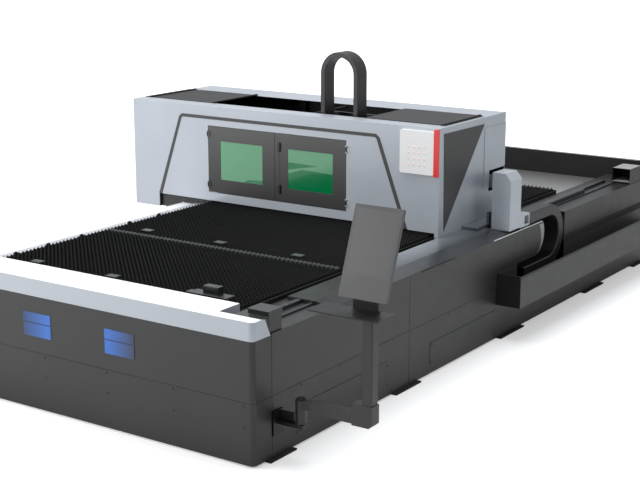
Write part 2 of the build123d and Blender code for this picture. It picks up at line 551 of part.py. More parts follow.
def gantry_works():
    """Beam, rails, saddles, drives and the chain bracket."""
    beam_end = COVER_RIGHT - 6
    beam = block(BEAM_LEFT, beam_end, BEAM_FRONT, BEAM_BACK, BEAM_LOW, BEAM_HIGH)
    beam -= block(BEAM_LEFT + 12, beam_end - 12, BEAM_FRONT + 12, BEAM_BACK - 12, BEAM_LOW + 12, BEAM_HIGH - 12)
    keep("gantry_beam", beam)
    rails = [
        block(BEAM_LEFT + 60, beam_end - 4, BEAM_FRONT - 15, BEAM_FRONT, BEAM_LOW + 30, BEAM_LOW + 54),
        block(BEAM_LEFT + 60, beam_end - 4, BEAM_FRONT - 15, BEAM_FRONT, BEAM_HIGH - 54, BEAM_HIGH - 30),
    ]
    keep("beam_rails", rails)
    plate_low, plate_high = WALL_TOP + 28, WALL_TOP + 48
    saddle = block(BEAM_INNER, RAIL_OUT + 18, 3180, 3600, plate_low, plate_high)
    for y in (3200, 3490):
        saddle += block(RAIL_IN - 8, RAIL_OUT + 8, y, y + 90, WALL_TOP + 4, plate_low)
    saddle -= block(RAIL_IN - 0.3, RAIL_OUT + 0.3, 3100, 3700, WALL_TOP - 8, RAIL_TOP + 0.3)
    left = mirrored([saddle])[0]
    left -= block(TABLE_LEFT - 8, -BEAM_INNER + 66, 3100, 3700, 700, 900)
    saddle += block(BEAM_INNER, beam_end - 2, BEAM_FRONT, BEAM_BACK, plate_high, BEAM_LOW)
    left += block(TABLE_LEFT - 36, TABLE_LEFT - 8, BEAM_FRONT, BEAM_BACK, plate_high, BEAM_LOW)
    saddle += block(RAIL_OUT - 6, RAIL_OUT + 18, 3380, 3508, plate_high, 950)
    keep("saddles", saddle, left)
    drive_x = RACK_OUT + 20.5
    drive = rounded_block(drive_x - 35, drive_x + 35, 3351, 3419, 900, 1120, 6, Axis.Z)
    drive += rod(drive_x, 3385, WALL_TOP + 4, 20, 24)
    drive += rod(drive_x, 3385, plate_low, 10, 64)
    drive += block(RAIL_OUT + 18, drive_x - 35, 3385, 3415, 905, 945)
    left_drive = mirrored([drive])[0]
    left_drive -= block(-drive_x + 34, -RAIL_OUT, 3380, 3420, 850, 910)
    left_drive += block(-drive_x + 35, TABLE_LEFT - 36, 3360, 3410, 905, 1000)
    keep("gantry_motors", drive, left_drive)

    x0, x1 = BRACKET_IN, BRACKET_OUT
    y0, y1 = BRACKET_FRONT, BRACKET_BACK
    upright = plate_xz([(x0, 894), (x1, 894), (x1, 1226), (x1 - 47, 1283), (x0, 1283)], y0, y1)
    upright -= plate_xz([(x0 + 8, 880), (x1 - 8, 880), (x1 - 8, 1222), (x1 - 51, 1273), (x0 + 8, 1273)], y0 + 8, y1 + 8)
    upright -= block(x0 - 1, x0 + 9, 3380, 3420, 900, 950)
    outer_plate = block(x1 - 8, x1, y0, y1, 827, 894)
    outer_plate += block(x0, x1, y0, y0 + 8, 827, 894)
    foot = block(x0, x1, y1 - 12, y1 + 165, 821, 919)
    foot -= block(x0 - 3, x1 + 5, y1 + 75, y1 + 151, 836, 902)
    foot += block(x0, x0 + 8, y1 - 12, y1, 894, 1273)
    link_x = x0 - 28
    arm = block(link_x, x0 + 8, y1 - 8, y1, ARM_LOW, ARM_HIGH)
    arm += block(link_x, link_x + 8, y1 - 8, y1 + 188, ARM_LOW, ARM_HIGH)
    arm += block(COVER_RIGHT - 46, link_x + 8, y1 + 180, y1 + 188, ARM_LOW, ARM_HIGH)
    arm += block(COVER_RIGHT - 46, COVER_RIGHT - 38, BEAM_BACK, y1 + 188, 1140, ARM_HIGH)
    keep("chain_bracket", upright + outer_plate + foot + arm)


def doors():
    """Two hinged doors with glass and two turning latches."""
    y0, y1 = COVER_FRONT, COVER_FRONT + DOOR_THICK
    z0, z1 = DOOR_BOTTOM + DOOR_GAP, DOOR_TOP - DOOR_GAP
    left_pane = (DOOR_LEFT_X + 132, DOOR_SEAM_X - 127)
    right_pane = (DOOR_SEAM_X + 132, DOOR_RIGHT_X - 129)
    pane_z = (1061, 1387)
    for name, xa, xb, pane in (
        ("left", DOOR_LEFT_X + 1, DOOR_SEAM_X - 1.5, left_pane),
        ("right", DOOR_SEAM_X + 1.5, DOOR_RIGHT_X - 1, right_pane),
    ):
        skin = block(xa, xb, y0, y1, z0, z1)
        skin -= block(xa + 3, xb - 3, y0 + 3, y1 + 1, z0 + 3, z1 - 3)
        skin += block(pane[0] - 20, pane[1] + 20, y0 + 3, y0 + 10, pane_z[0] - 20, pane_z[1] + 20)
        skin -= block(pane[0], pane[1], y0 - 1, y0 + 20, pane_z[0], pane_z[1])
        hinge_x, side = (DOOR_LEFT_X, 1) if name == "left" else (DOOR_RIGHT_X, -1)
        for z in HINGE_HEIGHTS:
            near = hinge_x + side * 3
            far = hinge_x + side * 24
            skin += block(min(near, far), max(near, far), HINGE_Y, y0, z + 10.3, z + 49.7)
            skin += rod(hinge_x, HINGE_Y, z + 10.3, 6, 39.4)
            skin -= rod(hinge_x, HINGE_Y, z, 3.05, 60)
        if name == "right":
            for z in LATCH_HEIGHTS:
                skin -= rod(LATCH_X, y0 - 2, z, 6.05, 20, "Y")
        keep("door_" + name, skin)
        keep("glass_" + name, block(pane[0], pane[1], y0 + 2, y0 + 8, pane_z[0], pane_z[1]))
    for name, z in zip(("lower", "upper"), LATCH_HEIGHTS):
        latch = block(LATCH_X - 10, LATCH_X + 10, y0 - 12, y0 - 2, z - 37, z + 37)
        latch += rod(LATCH_X, y0 - 2, z, 9, 1.8, "Y")
        latch += rod(LATCH_X, y0 - 2, z, 6, DOOR_THICK + 6, "Y")
        latch += block(LATCH_X - 8, LATCH_X + 8, y1 + 3, y1 + 7, z - 8, z + 60)
        keep("latch_" + name, latch)


def carriage():
    """Carriage plate, its motor, the arch chain, the Z slide and the head."""
    plate = block(HEAD_X - 150, HEAD_X + 150, 3205, 3235, BEAM_LOW - 20, BEAM_HIGH + 190)
    for z in (BEAM_LOW + 26, BEAM_HIGH - 58):
        truck = block(HEAD_X - 140, HEAD_X + 140, 3235, BEAM_FRONT - 4, z - 16, z + 48)
        truck -= block(HEAD_X - 200, HEAD_X + 200, BEAM_FRONT - 15.3, 3300, z + 3.7, z + 28.3)
        plate += truck
    for x in (HEAD_X - 60, HEAD_X + 36):
        plate += block(x, x + 24, 3190, 3205, 1130, 1440)
    plate += block(HEAD_X - ARCH_OUTER, HEAD_X - ARCH_INNER, ARCH_FRONT, 3205, 1560, 1600)
    plate += block(HEAD_X - ARCH_OUTER, HEAD_X - 140, 3205, 3235, 1560, 1600)
    left_bar, right_bar = HEAD_X - 274, HEAD_X + 244
    plate += block(left_bar, left_bar + 14, OPENING_FRONT + 4, OPENING_REAR - 4, 1645, 1662)
    plate += block(right_bar, right_bar + 14, OPENING_FRONT + 4, OPENING_REAR - 4, 1645, 1662)
    plate += block(left_bar, right_bar + 14, 3205, 3235, 1612, 1662)
    keep("carriage_plate", plate)
    motor = block(HEAD_X - 40, HEAD_X + 40, 3235, 3330, BEAM_HIGH + 30, BEAM_HIGH + 130)
    motor += rod(HEAD_X, 3282, BEAM_HIGH + 10, 14, 20)
    keep("carriage_motor", motor)

    mid_z = ARCH_TOP - ARCH_OUTER
    arch = rod(HEAD_X, ARCH_FRONT, mid_z, ARCH_OUTER, ARCH_WIDTH, "Y")
    arch -= rod(HEAD_X, ARCH_FRONT - 5, mid_z, ARCH_INNER, ARCH_WIDTH + 20, "Y")
    arch &= block(HEAD_X - 200, HEAD_X + 200, ARCH_FRONT - 15, ARCH_FRONT + ARCH_WIDTH + 5, mid_z, mid_z + 200)
    back = ARCH_FRONT + ARCH_WIDTH
    arch += block(HEAD_X - ARCH_OUTER, HEAD_X - ARCH_INNER, ARCH_FRONT, back, 1600, mid_z)
    arch += block(HEAD_X + ARCH_INNER, HEAD_X + ARCH_OUTER, ARCH_FRONT, back, 1440, mid_z)
    keep("arch_energy_chain", arch)

    slide = block(HEAD_X - 90, HEAD_X + 90, 3150, 3168, 1130, 1440)
    for x in (HEAD_X - 48, HEAD_X + 48):
        shoe = block(x - 24, x + 24, 3168, 3204.5, 1180, 1390)
        shoe -= block(x - 12.3, x + 12.3, 3189.7, 3210, 1100, 1500)
        slide += shoe
    slide += block(HEAD_X + 90, HEAD_X + ARCH_OUTER, 3010, 3168, 1428, 1440)
    slide += block(HEAD_X - 60, HEAD_X + 60, 3030, 3150, 1240, 1256)
    keep("z_slide", slide)
    head = rounded_block(HEAD_X - 45, HEAD_X + 45, HEAD_Y - 45, HEAD_Y + 45, 1060, 1240, 10, Axis.Z)
    head += rod(HEAD_X, HEAD_Y, 1000, 36, 60)
    head += rod(HEAD_X, HEAD_Y, 1256, 26, 120)
    keep("cutting_head", head)
    cone = Pos(HEAD_X, HEAD_Y - HALF_LENGTH, NOZZLE_TIP + 40) * Cone(7, 26, 60)
    cone += rod(HEAD_X, HEAD_Y, NOZZLE_TIP, 7, 10)
    cone += rod(HEAD_X, HEAD_Y, NOZZLE_TIP + 70, 26, 25)
    keep("nozzle", cone - rod(HEAD_X, HEAD_Y, NOZZLE_TIP - 1, 2, 60))


def operator_arm():
    """Swing arm, elbow, post, keyboard shelf, neck and leaned screen."""
    knuckle = tube(KNUCKLE_X, ARM_Y, 244, 35, 14.1, 154)
    stub = block(KNUCKLE_X + 25, KNUCKLE_X + 92, 220, 270, 345, 395)
    x0, x1 = KNUCKLE_X + 90, POST_X - 105
    arm = block(x0, x1, 210, 280, 335, 405)
    arm -= block(x0 + 6, x1 - 6, 216, 274, 341, 399)
    arm += stub - rod(KNUCKLE_X, ARM_Y, 340, 30, 60)
    elbow = plate_xz([(x1, 327), (POST_X + 14, 327), (POST_X + 39, 350), (POST_X + 39, 464.7), (x1, 464.7)], 206, 284)
    elbow -= rod(POST_X, 244, 380, 22.1, 100)
    keep("swing_arm", knuckle + arm, elbow)
    post = rounded_block(POST_X - 34, POST_X + 34, 210, 278, 465, SHELF_TOP - SHELF_THICK, 6, Axis.Z)
    post += rod(POST_X, 244, 384, 22, 82)
    keep("arm_post", post)
    shelf_left, shelf_right = POST_X - 388, POST_X + 97
    shelf = rounded_block(shelf_left, shelf_right, 155, 356, SHELF_TOP - SHELF_THICK, SHELF_TOP, 8, Axis.Z)
    keep("keyboard_shelf", shelf)

    lean = math.radians(SCREEN_LEAN)
    low_y, low_z = 260.0, 1086.0

    def on_screen(up, back):
        """Point above the lower front edge, by a distance up the face and behind it."""
        return (low_y + up * math.sin(lean) + back * math.cos(lean),
                low_z + up * math.cos(lean) - back * math.sin(lean))

    centre_y, centre_z = on_screen(SCREEN_HEIGHT / 2, 14)
    body = Box(SCREEN_WIDTH, 28, SCREEN_HEIGHT)
    body = fillet(body.edges().filter_by(Axis.Y), 10)
    place = Pos(POST_X - 74, centre_y - HALF_LENGTH, centre_z) * Rot(-SCREEN_LEAN, 0, 0)
    case = place * (body - Pos(0, -14, 60) * Box(290, 3, 390))
    hinge_y, hinge_z = on_screen(150, 62)
    lug_outline = [on_screen(90, 28), on_screen(210, 28), on_screen(165, 74), on_screen(135, 74)]
    case = case + plate_yz(lug_outline, NECK_X - 28, NECK_X + 28) - rod(NECK_X - 40, hinge_y, hinge_z, 7.1, 80, "X")
    keep("monitor_case", case)
    keep("monitor_screen", place * (Pos(0, -13.3, 60) * Box(290, 1.4, 390)))
    neck = block(NECK_X - 88, NECK_X + 88, 335, 355, SHELF_TOP, 1150)
    for x in (NECK_X - 58, NECK_X + 28.5):
        neck += block(x, x + 29.5, 347, hinge_y + 12, 1110, hinge_z + 14)
    neck += rod(NECK_X - 58, hinge_y, hinge_z, 7, 116, "X")
    keep("monitor_neck", neck)
    return NECK_X, hinge_y, hinge_z


bed_panels()
front_trim()
beams()
guides()
support_table()
cable_side()
arm_bracket()
gantry_cover()
gantry_works()
doors()
carriage()
hinge = operator_arm()

for name, node in NODES.items():
    export_step(node, os.path.join("parts", name + ".step"))
print(len(NODES), "nodes; screen hinge at", hinge)
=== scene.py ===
"""Dressed model of a fiber laser cutting machine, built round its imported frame.

Lengths are metres in the frame's own axes: X across the bed, +Y along it away from the front end, Z up. Each
sub-assembly is a class that holds its sizes and makes its pieces, and each finish is a frozen dataclass.
"""
import logging
import math
from dataclasses import dataclass, field
from enum import Enum
from typing import Sequence

import bmesh
import bpy
import numpy as np
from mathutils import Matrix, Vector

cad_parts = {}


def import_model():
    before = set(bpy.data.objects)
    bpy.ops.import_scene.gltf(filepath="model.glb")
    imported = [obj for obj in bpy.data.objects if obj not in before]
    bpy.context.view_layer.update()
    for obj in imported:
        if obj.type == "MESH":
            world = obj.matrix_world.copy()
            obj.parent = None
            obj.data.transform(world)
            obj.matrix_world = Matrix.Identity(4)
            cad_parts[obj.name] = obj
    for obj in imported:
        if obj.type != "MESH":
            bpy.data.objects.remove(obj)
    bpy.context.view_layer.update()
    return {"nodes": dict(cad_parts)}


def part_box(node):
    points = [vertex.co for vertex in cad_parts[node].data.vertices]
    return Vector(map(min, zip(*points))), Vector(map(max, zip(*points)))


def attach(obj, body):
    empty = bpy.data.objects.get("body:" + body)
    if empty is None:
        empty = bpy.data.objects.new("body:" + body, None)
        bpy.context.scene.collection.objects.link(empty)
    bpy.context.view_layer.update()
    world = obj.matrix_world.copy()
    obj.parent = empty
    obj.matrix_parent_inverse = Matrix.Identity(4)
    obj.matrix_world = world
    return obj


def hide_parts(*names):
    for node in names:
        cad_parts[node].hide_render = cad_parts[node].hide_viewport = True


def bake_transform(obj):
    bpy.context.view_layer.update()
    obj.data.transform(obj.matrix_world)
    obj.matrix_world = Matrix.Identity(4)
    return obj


LOG = logging.getLogger("laser_cutter")
MM = 0.001
FRONT_Y = -3.1


class Axis(Enum):
    """Direction along which a pattern runs."""

    X = 0
    Y = 1
    Z = 2


def linear(code: str) -> tuple[float, float, float, float]:
    """Turns an sRGB hex colour into linear red, green and blue with full alpha.

    Args:
        code: six hex digits, with or without a leading hash.

    Returns:
        Linear red, green, blue and an alpha of 1.
    """
    digits = code.lstrip("#")
    parts = [int(digits[i:i + 2], 16) / 255 for i in (0, 2, 4)]
    low = [p / 12.92 if p <= 0.04045 else ((p + 0.055) / 1.055) ** 2.4 for p in parts]
    return (low[0], low[1], low[2], 1.0)


def add_node(tree: bpy.types.NodeTree, kind: str, settings: dict | None = None, **links) -> bpy.types.Node:
    """Adds one node, sets its properties and joins or sets its inputs.

    Args:
        tree: the node tree that takes the node.
        kind: the node's type name.
        settings: properties of the node itself.
        **links: an input's name, with underscores for spaces, to an output socket or a plain value.

    Returns:
        The new node.
    """
    node = tree.nodes.new(kind)
    for key, value in (settings or {}).items():
        setattr(node, key, value)
    for key, value in links.items():
        name = key.replace("_", " ")
        socket = node.inputs[int(name[1:])] if name[0] == "i" and name[1:].isdigit() else node.inputs[name]
        if isinstance(value, bpy.types.NodeSocket):
            tree.links.new(value, socket)
        else:
            socket.default_value = value
    return node


def blend_colours(tree: bpy.types.NodeTree, share: bpy.types.NodeSocket, first: bpy.types.NodeSocket,
                  second: Sequence[float]) -> bpy.types.NodeSocket:
    """Mixes a colour socket into a fixed colour.

    Args:
        tree: the material's node tree.
        share: 0 gives the first colour and 1 the second.
        first: the first colour.
        second: the second colour, linear with alpha.

    Returns:
        The mixed colour.
    """
    mix = add_node(tree, "ShaderNodeMix", {"data_type": "RGBA"})
    tree.links.new(share, mix.inputs["Factor"])
    tree.links.new(first, mix.inputs[6])
    mix.inputs[7].default_value = second
    return mix.outputs[2]


@dataclass(frozen=True)
class Finish:
    """A painted, moulded or plain surface with a fine grain and a slow drift of colour.

    The grain is a noise whose size is a real length, used for the bump. A slower noise moves the roughness
    and the colour a little, as spray paint and moulded plastic show.
    """

    name: str
    colour: str
    roughness: float = 0.45
    metallic: float = 0.0
    coat: float = 0.0
    grain_mm: float = 4.0
    bump: float = 0.05
    drift: float = 0.06
    drift_mm: float = 420.0
    specular: float = 0.5

    def base(self, tree: bpy.types.NodeTree, place: bpy.types.NodeSocket) -> bpy.types.NodeSocket:
        """Colour of the surface: the plain colour, darker and lighter by a slow noise.

        Args:
            tree: the material's node tree.
            place: object coordinates.

        Returns:
            The colour socket.
        """
        cloud = add_node(tree, "ShaderNodeTexNoise", Vector=place, Scale=1 / (self.drift_mm * MM), Detail=3.0)
        rgb = linear(self.colour)
        ramp = add_node(tree, "ShaderNodeValToRGB", Fac=cloud.outputs["Fac"])
        dark = [c * (1 - self.drift) for c in rgb[:3]] + [1.0]
        light = [min(1.0, c * (1 + self.drift)) for c in rgb[:3]] + [1.0]
        ramp.color_ramp.elements[0].position = 0.3
        ramp.color_ramp.elements[0].color = dark
        ramp.color_ramp.elements[1].position = 0.7
        ramp.color_ramp.elements[1].color = light
        return ramp.outputs["Color"]

    def height(self, tree: bpy.types.NodeTree, place: bpy.types.NodeSocket) -> bpy.types.NodeSocket:
        """Height of the grain for the bump."""
        grain = add_node(tree, "ShaderNodeTexNoise", Vector=place, Scale=1 / (self.grain_mm * MM), Detail=2.0)
        return grain.outputs["Fac"]

    def material(self) -> bpy.types.Material:
        """Builds the material, or returns it if it is there already.

        Returns:
            The Blender material.
        """
        found = bpy.data.materials.get(self.name)
        if found:
            return found
        made = bpy.data.materials.new(self.name)
        made.use_nodes = True
        tree = made.node_tree
        tree.nodes.clear()
        place = add_node(tree, "ShaderNodeTexCoord").outputs["Object"]
        rough_cloud = add_node(tree, "ShaderNodeTexNoise", Vector=place, Scale=1 / (self.drift_mm * 0.3 * MM))
        rough = add_node(tree, "ShaderNodeMapRange", Value=rough_cloud.outputs["Fac"])
        rough.inputs["To Min"].default_value = max(0.02, self.roughness - 0.06)
        rough.inputs["To Max"].default_value = min(1.0, self.roughness + 0.06)
        lift = add_node(tree, "ShaderNodeBump", Height=self.height(tree, place), Strength=self.bump)
        lift.inputs["Distance"].default_value = self.grain_mm * MM * 0.1
        shader = add_node(
            tree, "ShaderNodeBsdfPrincipled", Base_Color=self.base(tree, place),
            Roughness=rough.outputs["Result"], Metallic=self.metallic, Normal=lift.outputs["Normal"],
            Coat_Weight=self.coat, Coat_Roughness=0.15, Specular_IOR_Level=self.specular,
        )
        self.extra(tree, place, shader)
        add_node(tree, "ShaderNodeOutputMaterial", Surface=shader.outputs["BSDF"])
        return made

    def extra(self, tree: bpy.types.NodeTree, place: bpy.types.NodeSocket, shader: bpy.types.Node) -> None:
        """Hook for finishes that need more than the plain sockets."""


@dataclass(frozen=True)
class BrushedSteel(Finish):
    """Ground or brushed metal, its grain drawn out along one axis, in lines wider than real ones."""

    along: Axis = Axis.Y

    def height(self, tree: bpy.types.NodeTree, place: bpy.types.NodeSocket) -> bpy.types.NodeSocket:
        """Noise squeezed along the grain, so its cells become long lines."""
        stretch = [1.0, 1.0, 1.0]
        stretch[self.along.value] = 0.02
        turned = add_node(tree, "ShaderNodeMapping", Vector=place, Scale=stretch)
        grain = add_node(
            tree, "ShaderNodeTexNoise", Vector=turned.outputs["Vector"], Scale=1 / (self.grain_mm * MM),
            Detail=3.0,
        )
        return grain.outputs["Fac"]


@dataclass(frozen=True)
class Graded(Finish):
    """A finish that turns into a second colour between two places along one axis."""

    second: str = "#000000"
    along: Axis = Axis.Z
    start: float = 0.0
    end: float = 1.0

    def base(self, tree: bpy.types.NodeTree, place: bpy.types.NodeSocket) -> bpy.types.NodeSocket:
        """Mixes the first colour, full at start, into the second, full at end."""
        body = Finish.base(self, tree, place)
        split = add_node(tree, "ShaderNodeSeparateXYZ", Vector=place)
        run = add_node(tree, "ShaderNodeMapRange", Value=split.outputs[self.along.name])
        run.inputs["From Min"].default_value = self.start
        run.inputs["From Max"].default_value = self.end
        return blend_colours(tree, run.outputs["Result"], body, linear(self.second))


@dataclass(frozen=True)
class LitTopPaint(Finish):
    """A paint with a painted highlight: faces that look up are mixed towards a paler colour, where the
    studio's ceiling lights them.
    """

    top: str = "#ffffff"

    def base(self, tree: bpy.types.NodeTree, place: bpy.types.NodeSocket) -> bpy.types.NodeSocket:
        """Mixes the side colour into the paler top colour, the painted highlight, by how far the face looks
        up.
        """
        body = Finish.base(self, tree, place)
        facing = add_node(tree, "ShaderNodeNewGeometry")
        split = add_node(tree, "ShaderNodeSeparateXYZ", Vector=facing.outputs["True Normal"])
        run = add_node(tree, "ShaderNodeMapRange", Value=split.outputs["Z"])
        run.inputs["From Min"].default_value = 0.55
        run.inputs["From Max"].default_value = 0.95
        return blend_colours(tree, run.outputs["Result"], body, linear(self.top))


@dataclass(frozen=True)
class ShellPaint(Finish):
    """Outside paint on a sheet housing, with painted shade on its inner faces, which turn near black.

    The housing is a box with centre c and half size h. Depth is the largest of |p - c| - h over the three
    axes, 0 on the outer skin and below 0 inside, and the paint turns black 3 mm under the skin.
    """

    centre: tuple[float, float, float] = (0.0, 0.0, 0.0)
    half: tuple[float, float, float] = (1.0, 1.0, 1.0)
    inside: str = "#060606"

    def base(self, tree: bpy.types.NodeTree, place: bpy.types.NodeSocket) -> bpy.types.NodeSocket:
        """Mixes the paint into the near black of the painted shade by the depth under the skin."""
        body = Finish.base(self, tree, place)
        shift = add_node(tree, "ShaderNodeVectorMath", {"operation": "SUBTRACT"}, i0=place, i1=self.centre)
        size = add_node(tree, "ShaderNodeVectorMath", {"operation": "ABSOLUTE"}, i0=shift.outputs[0])
        depth = add_node(tree, "ShaderNodeVectorMath", {"operation": "SUBTRACT"}, i0=size.outputs[0],
                         i1=self.half)
        split = add_node(tree, "ShaderNodeSeparateXYZ", Vector=depth.outputs[0])
        widest = add_node(tree, "ShaderNodeMath", {"operation": "MAXIMUM"}, i0=split.outputs["X"],
                          i1=split.outputs["Y"])
        widest = add_node(tree, "ShaderNodeMath", {"operation": "MAXIMUM"}, i0=widest.outputs[0],
                          i1=split.outputs["Z"])
        run = add_node(tree, "ShaderNodeMapRange", Value=widest.outputs[0])
        run.inputs["From Min"].default_value = -2.5 * MM
        run.inputs["From Max"].default_value = -3.5 * MM
        return blend_colours(tree, run.outputs["Result"], body, linear(self.inside))


@dataclass(frozen=True)
class WayPaint(Graded):
    """A graded paint that turns dark again along the bed, towards its front end."""

    front: str = "#070707"
    front_end: float = -1.6
    clear: float = -1.45

    def base(self, tree: bpy.types.NodeTree, place: bpy.types.NodeSocket) -> bpy.types.NodeSocket:
        """Mixes the graded paint into the dark front."""
        body = Graded.base(self, tree, place)
        split = add_node(tree, "ShaderNodeSeparateXYZ", Vector=place)
        run = add_node(tree, "ShaderNodeMapRange", Value=split.outputs["Y"])
        run.inputs["From Min"].default_value = self.clear
        run.inputs["From Max"].default_value = self.front_end
        return blend_colours(tree, run.outputs["Result"], body, linear(self.front))


@dataclass(frozen=True)
class TintedPane(Finish):
    """Laser safety window: green acrylic, with a painted reflection of the room in pale green, and deep green
    elsewhere.

    Places on the pane are u, 0 at its left edge and 1 at its right, and v, 0 at its top and 1 at its bottom.
    Each deep field is a pair of lines (level, slope), and it covers the places with v above the first line,
    level + slope * u, and above the second, or below the second if the field is a wedge.
    """

    deep: str = "#00703f"
    left_x: float = 0.0
    width: float = 0.437
    top_z: float = 1.387
    height_m: float = 0.326
    field: tuple[float, float, float, float] = (0.47, 0.04, 0.62, -0.45)
    wedge: tuple[float, float, float, float] = (2.0, 0.0, 2.0, 0.0)

    def base(self, tree: bpy.types.NodeTree, place: bpy.types.NodeSocket) -> bpy.types.NodeSocket:
        """Joins the field and the wedge and picks the pale tint of the painted reflection or the deep tint.
        """
        split = add_node(tree, "ShaderNodeSeparateXYZ", Vector=place)
        across = add_node(tree, "ShaderNodeMapRange", {"clamp": False}, Value=split.outputs["X"])
        across.inputs["From Min"].default_value = self.left_x
        across.inputs["From Max"].default_value = self.left_x + self.width
        down = add_node(tree, "ShaderNodeMapRange", {"clamp": False}, Value=split.outputs["Z"])
        down.inputs["From Min"].default_value = self.top_z
        down.inputs["From Max"].default_value = self.top_z - self.height_m

        def past(level: float, slope: float, turn: float = 1.0) -> bpy.types.NodeSocket:
            """Is 1 where turn * (v - level - slope * u) is above 0, with a soft edge of 2 % of the pane."""
            line = add_node(tree, "ShaderNodeMath", {"operation": "MULTIPLY_ADD"},
                            i0=across.outputs["Result"], i1=-slope, i2=down.outputs["Result"])
            step = add_node(tree, "ShaderNodeMapRange", Value=line.outputs[0])
            step.inputs["From Min"].default_value = level - 0.01 * turn
            step.inputs["From Max"].default_value = level + 0.01 * turn
            return step.outputs["Result"]

        f, w = self.field, self.wedge
        low = add_node(tree, "ShaderNodeMath", {"operation": "MULTIPLY"}, i0=past(f[0], f[1]),
                       i1=past(f[2], f[3]))
        dart = add_node(tree, "ShaderNodeMath", {"operation": "MULTIPLY"}, i0=past(w[0], w[1]),
                        i1=past(w[2], w[3], -1.0))
        both = add_node(tree, "ShaderNodeMath", {"operation": "MAXIMUM"}, i0=low.outputs[0],
                        i1=dart.outputs[0])
        pale = add_node(tree, "ShaderNodeRGB")
        pale.outputs[0].default_value = linear(self.colour)
        return blend_colours(tree, both.outputs[0], pale.outputs[0], linear(self.deep))


@dataclass(frozen=True)
class LightField(Graded):
    """Lit blue sign field that fades into the grey panel and gives a faint light of its own."""

    def extra(self, tree: bpy.types.NodeTree, place: bpy.types.NodeSocket, shader: bpy.types.Node) -> None:
        """Lets the same colours glow a little."""
        tree.links.new(self.base(tree, place), shader.inputs["Emission Color"])
        shader.inputs["Emission Strength"].default_value = 0.14


# Powder coat on folded steel: a fine orange peel and a satin sheen
BODY_PAINT = Finish("powder_coat_dark_grey", "#282828", roughness=0.42, grain_mm=5, bump=0.12)
# The near beam is dark, and the far one has a pale top, a painted reflection of the white room
BEAM_PAINT = Graded("powder_coat_beam_grey", "#e9ebee", roughness=0.36, grain_mm=5, bump=0.1,
                    second="#2b2b2c", along=Axis.X, start=-1.0, end=-0.9)
# The sheet over the right rail is silver grey beside the cover, a painted reflection of the cover, and dark
# near the outer wall; it turns near black towards its front end
WAY_PAINT = WayPaint("powder_coat_way_sheet", "#737980", roughness=0.3, grain_mm=5, bump=0.06,
                     second="#303336", along=Axis.X, start=1.1, end=1.32)
# Silver metallic paint: flakes too fine to see, a soft broad sheen
SILVER_PAINT = Finish("metallic_paint_silver", "#aeb4bc", roughness=0.38, metallic=0.25, coat=0.15,
                      grain_mm=3, bump=0.03, drift=0.03)
# The cover's inner faces turn near black, painted shade inside the housing.
COVER_PAINT = ShellPaint("metallic_paint_cover", "#aeb4bc", roughness=0.38, metallic=0.25, coat=0.15,
                         grain_mm=3, bump=0.03, drift=0.03, centre=(-0.4305, 0.2455, -0.325),
                         half=(1.5285, 0.5445, 2.0))
# The trim's faces that look up are painted white, a painted highlight where the ceiling light falls.
TRIM_PAINT = LitTopPaint("metallic_paint_trim", "#abb1b8", roughness=0.36, metallic=0.15, coat=0.1, grain_mm=3,
                     bump=0.02, drift=0.02, top="#ffffff")
# Powder coat in the darker greys of the strip, doors, tray, skirt, rear wall and end pieces, several with
# painted light and shade
STRIP_PAINT = Finish("powder_coat_strip_grey", "#3d3d3d", roughness=0.5, grain_mm=4, bump=0.1)
SLAT_COVER = Finish("powder_coat_slat_cover", "#262626", roughness=0.5, grain_mm=4, bump=0.1)
# The doors turn from a dark grey low down to a lighter grey towards the top.
DOOR_PAINT = Graded("powder_coat_door_grey", "#222222", roughness=0.5, grain_mm=4, bump=0.1, second="#4c4c4c",
                    along=Axis.Z, start=0.93, end=1.48)
# The tray's front end face is near black, painted shade, and the rest of the tray a darker grey.
TRAY_PAINT = Graded("powder_coat_tray_grey", "#0c0c0c", roughness=0.45, grain_mm=5, bump=0.1,
                    second="#303030", along=Axis.Y, start=0.0105, end=0.013)
# The skirt sheet is black, with a painted highlight that makes it grey at its left end.
SKIRT_PAINT = Graded("black_skirt_sheet", "#2c2c2c", roughness=0.45, grain_mm=5, bump=0.08, second="#060606",
                     along=Axis.X, start=-1.6, end=-1.15)
# The rear wall, front end caps and rear end boxes are near black, with a painted highlight on faces that look
# up.
WALL_PAINT = LitTopPaint("powder_coat_wall_grey", "#141414", roughness=0.5, grain_mm=5, bump=0.1, top="#8c8c8c")
CAP_PAINT = LitTopPaint("gloss_black_cap", "#090a0a", roughness=0.3, grain_mm=5, bump=0.05, top="#393c3b")
BOX_PAINT = LitTopPaint("end_box_grey", "#101010", roughness=0.4, grain_mm=5, bump=0.08, top="#9a9a9a")
# Bare, oxidised and scorched steel of the rails and the support table
# The rails and racks on the far beam are painted pale, a painted reflection of the white room, and those on
# the near beam dark grey, in painted shade.
RAIL_STEEL = Graded("ground_rail_steel", "#d5d7da", roughness=0.3, metallic=0.6, grain_mm=3, bump=0.1,
                    second="#3f4244", along=Axis.X, start=-1.0, end=-0.9)
BARE_STEEL = BrushedSteel("brushed_bare_steel", "#7d7f82", roughness=0.34, metallic=0.7, grain_mm=3,
                          bump=0.15)
TAB_STEEL = Finish("oxidised_tab_steel", "#4c504e", roughness=0.4, metallic=0.4, grain_mm=3, bump=0.1)
# The slats are near black below their tooth tips, painted shade deep between the close slats over dark
# scorched steel, and a little lighter at the tips.
SLAT_STEEL = Graded("scorched_slat_steel_shaded_low", "#030303", roughness=0.6, metallic=0.1, grain_mm=6, bump=0.2,
                    second="#191c1c", along=Axis.Z, start=0.851, end=0.86)
FRAME_STEEL = Finish("black_frame_steel", "#0b0b0b", roughness=0.55, metallic=0.2, grain_mm=6, bump=0.15)
COMB_STEEL = Finish("worn_comb_steel", "#6a6e6f", roughness=0.45, metallic=0.4, grain_mm=4, bump=0.1)
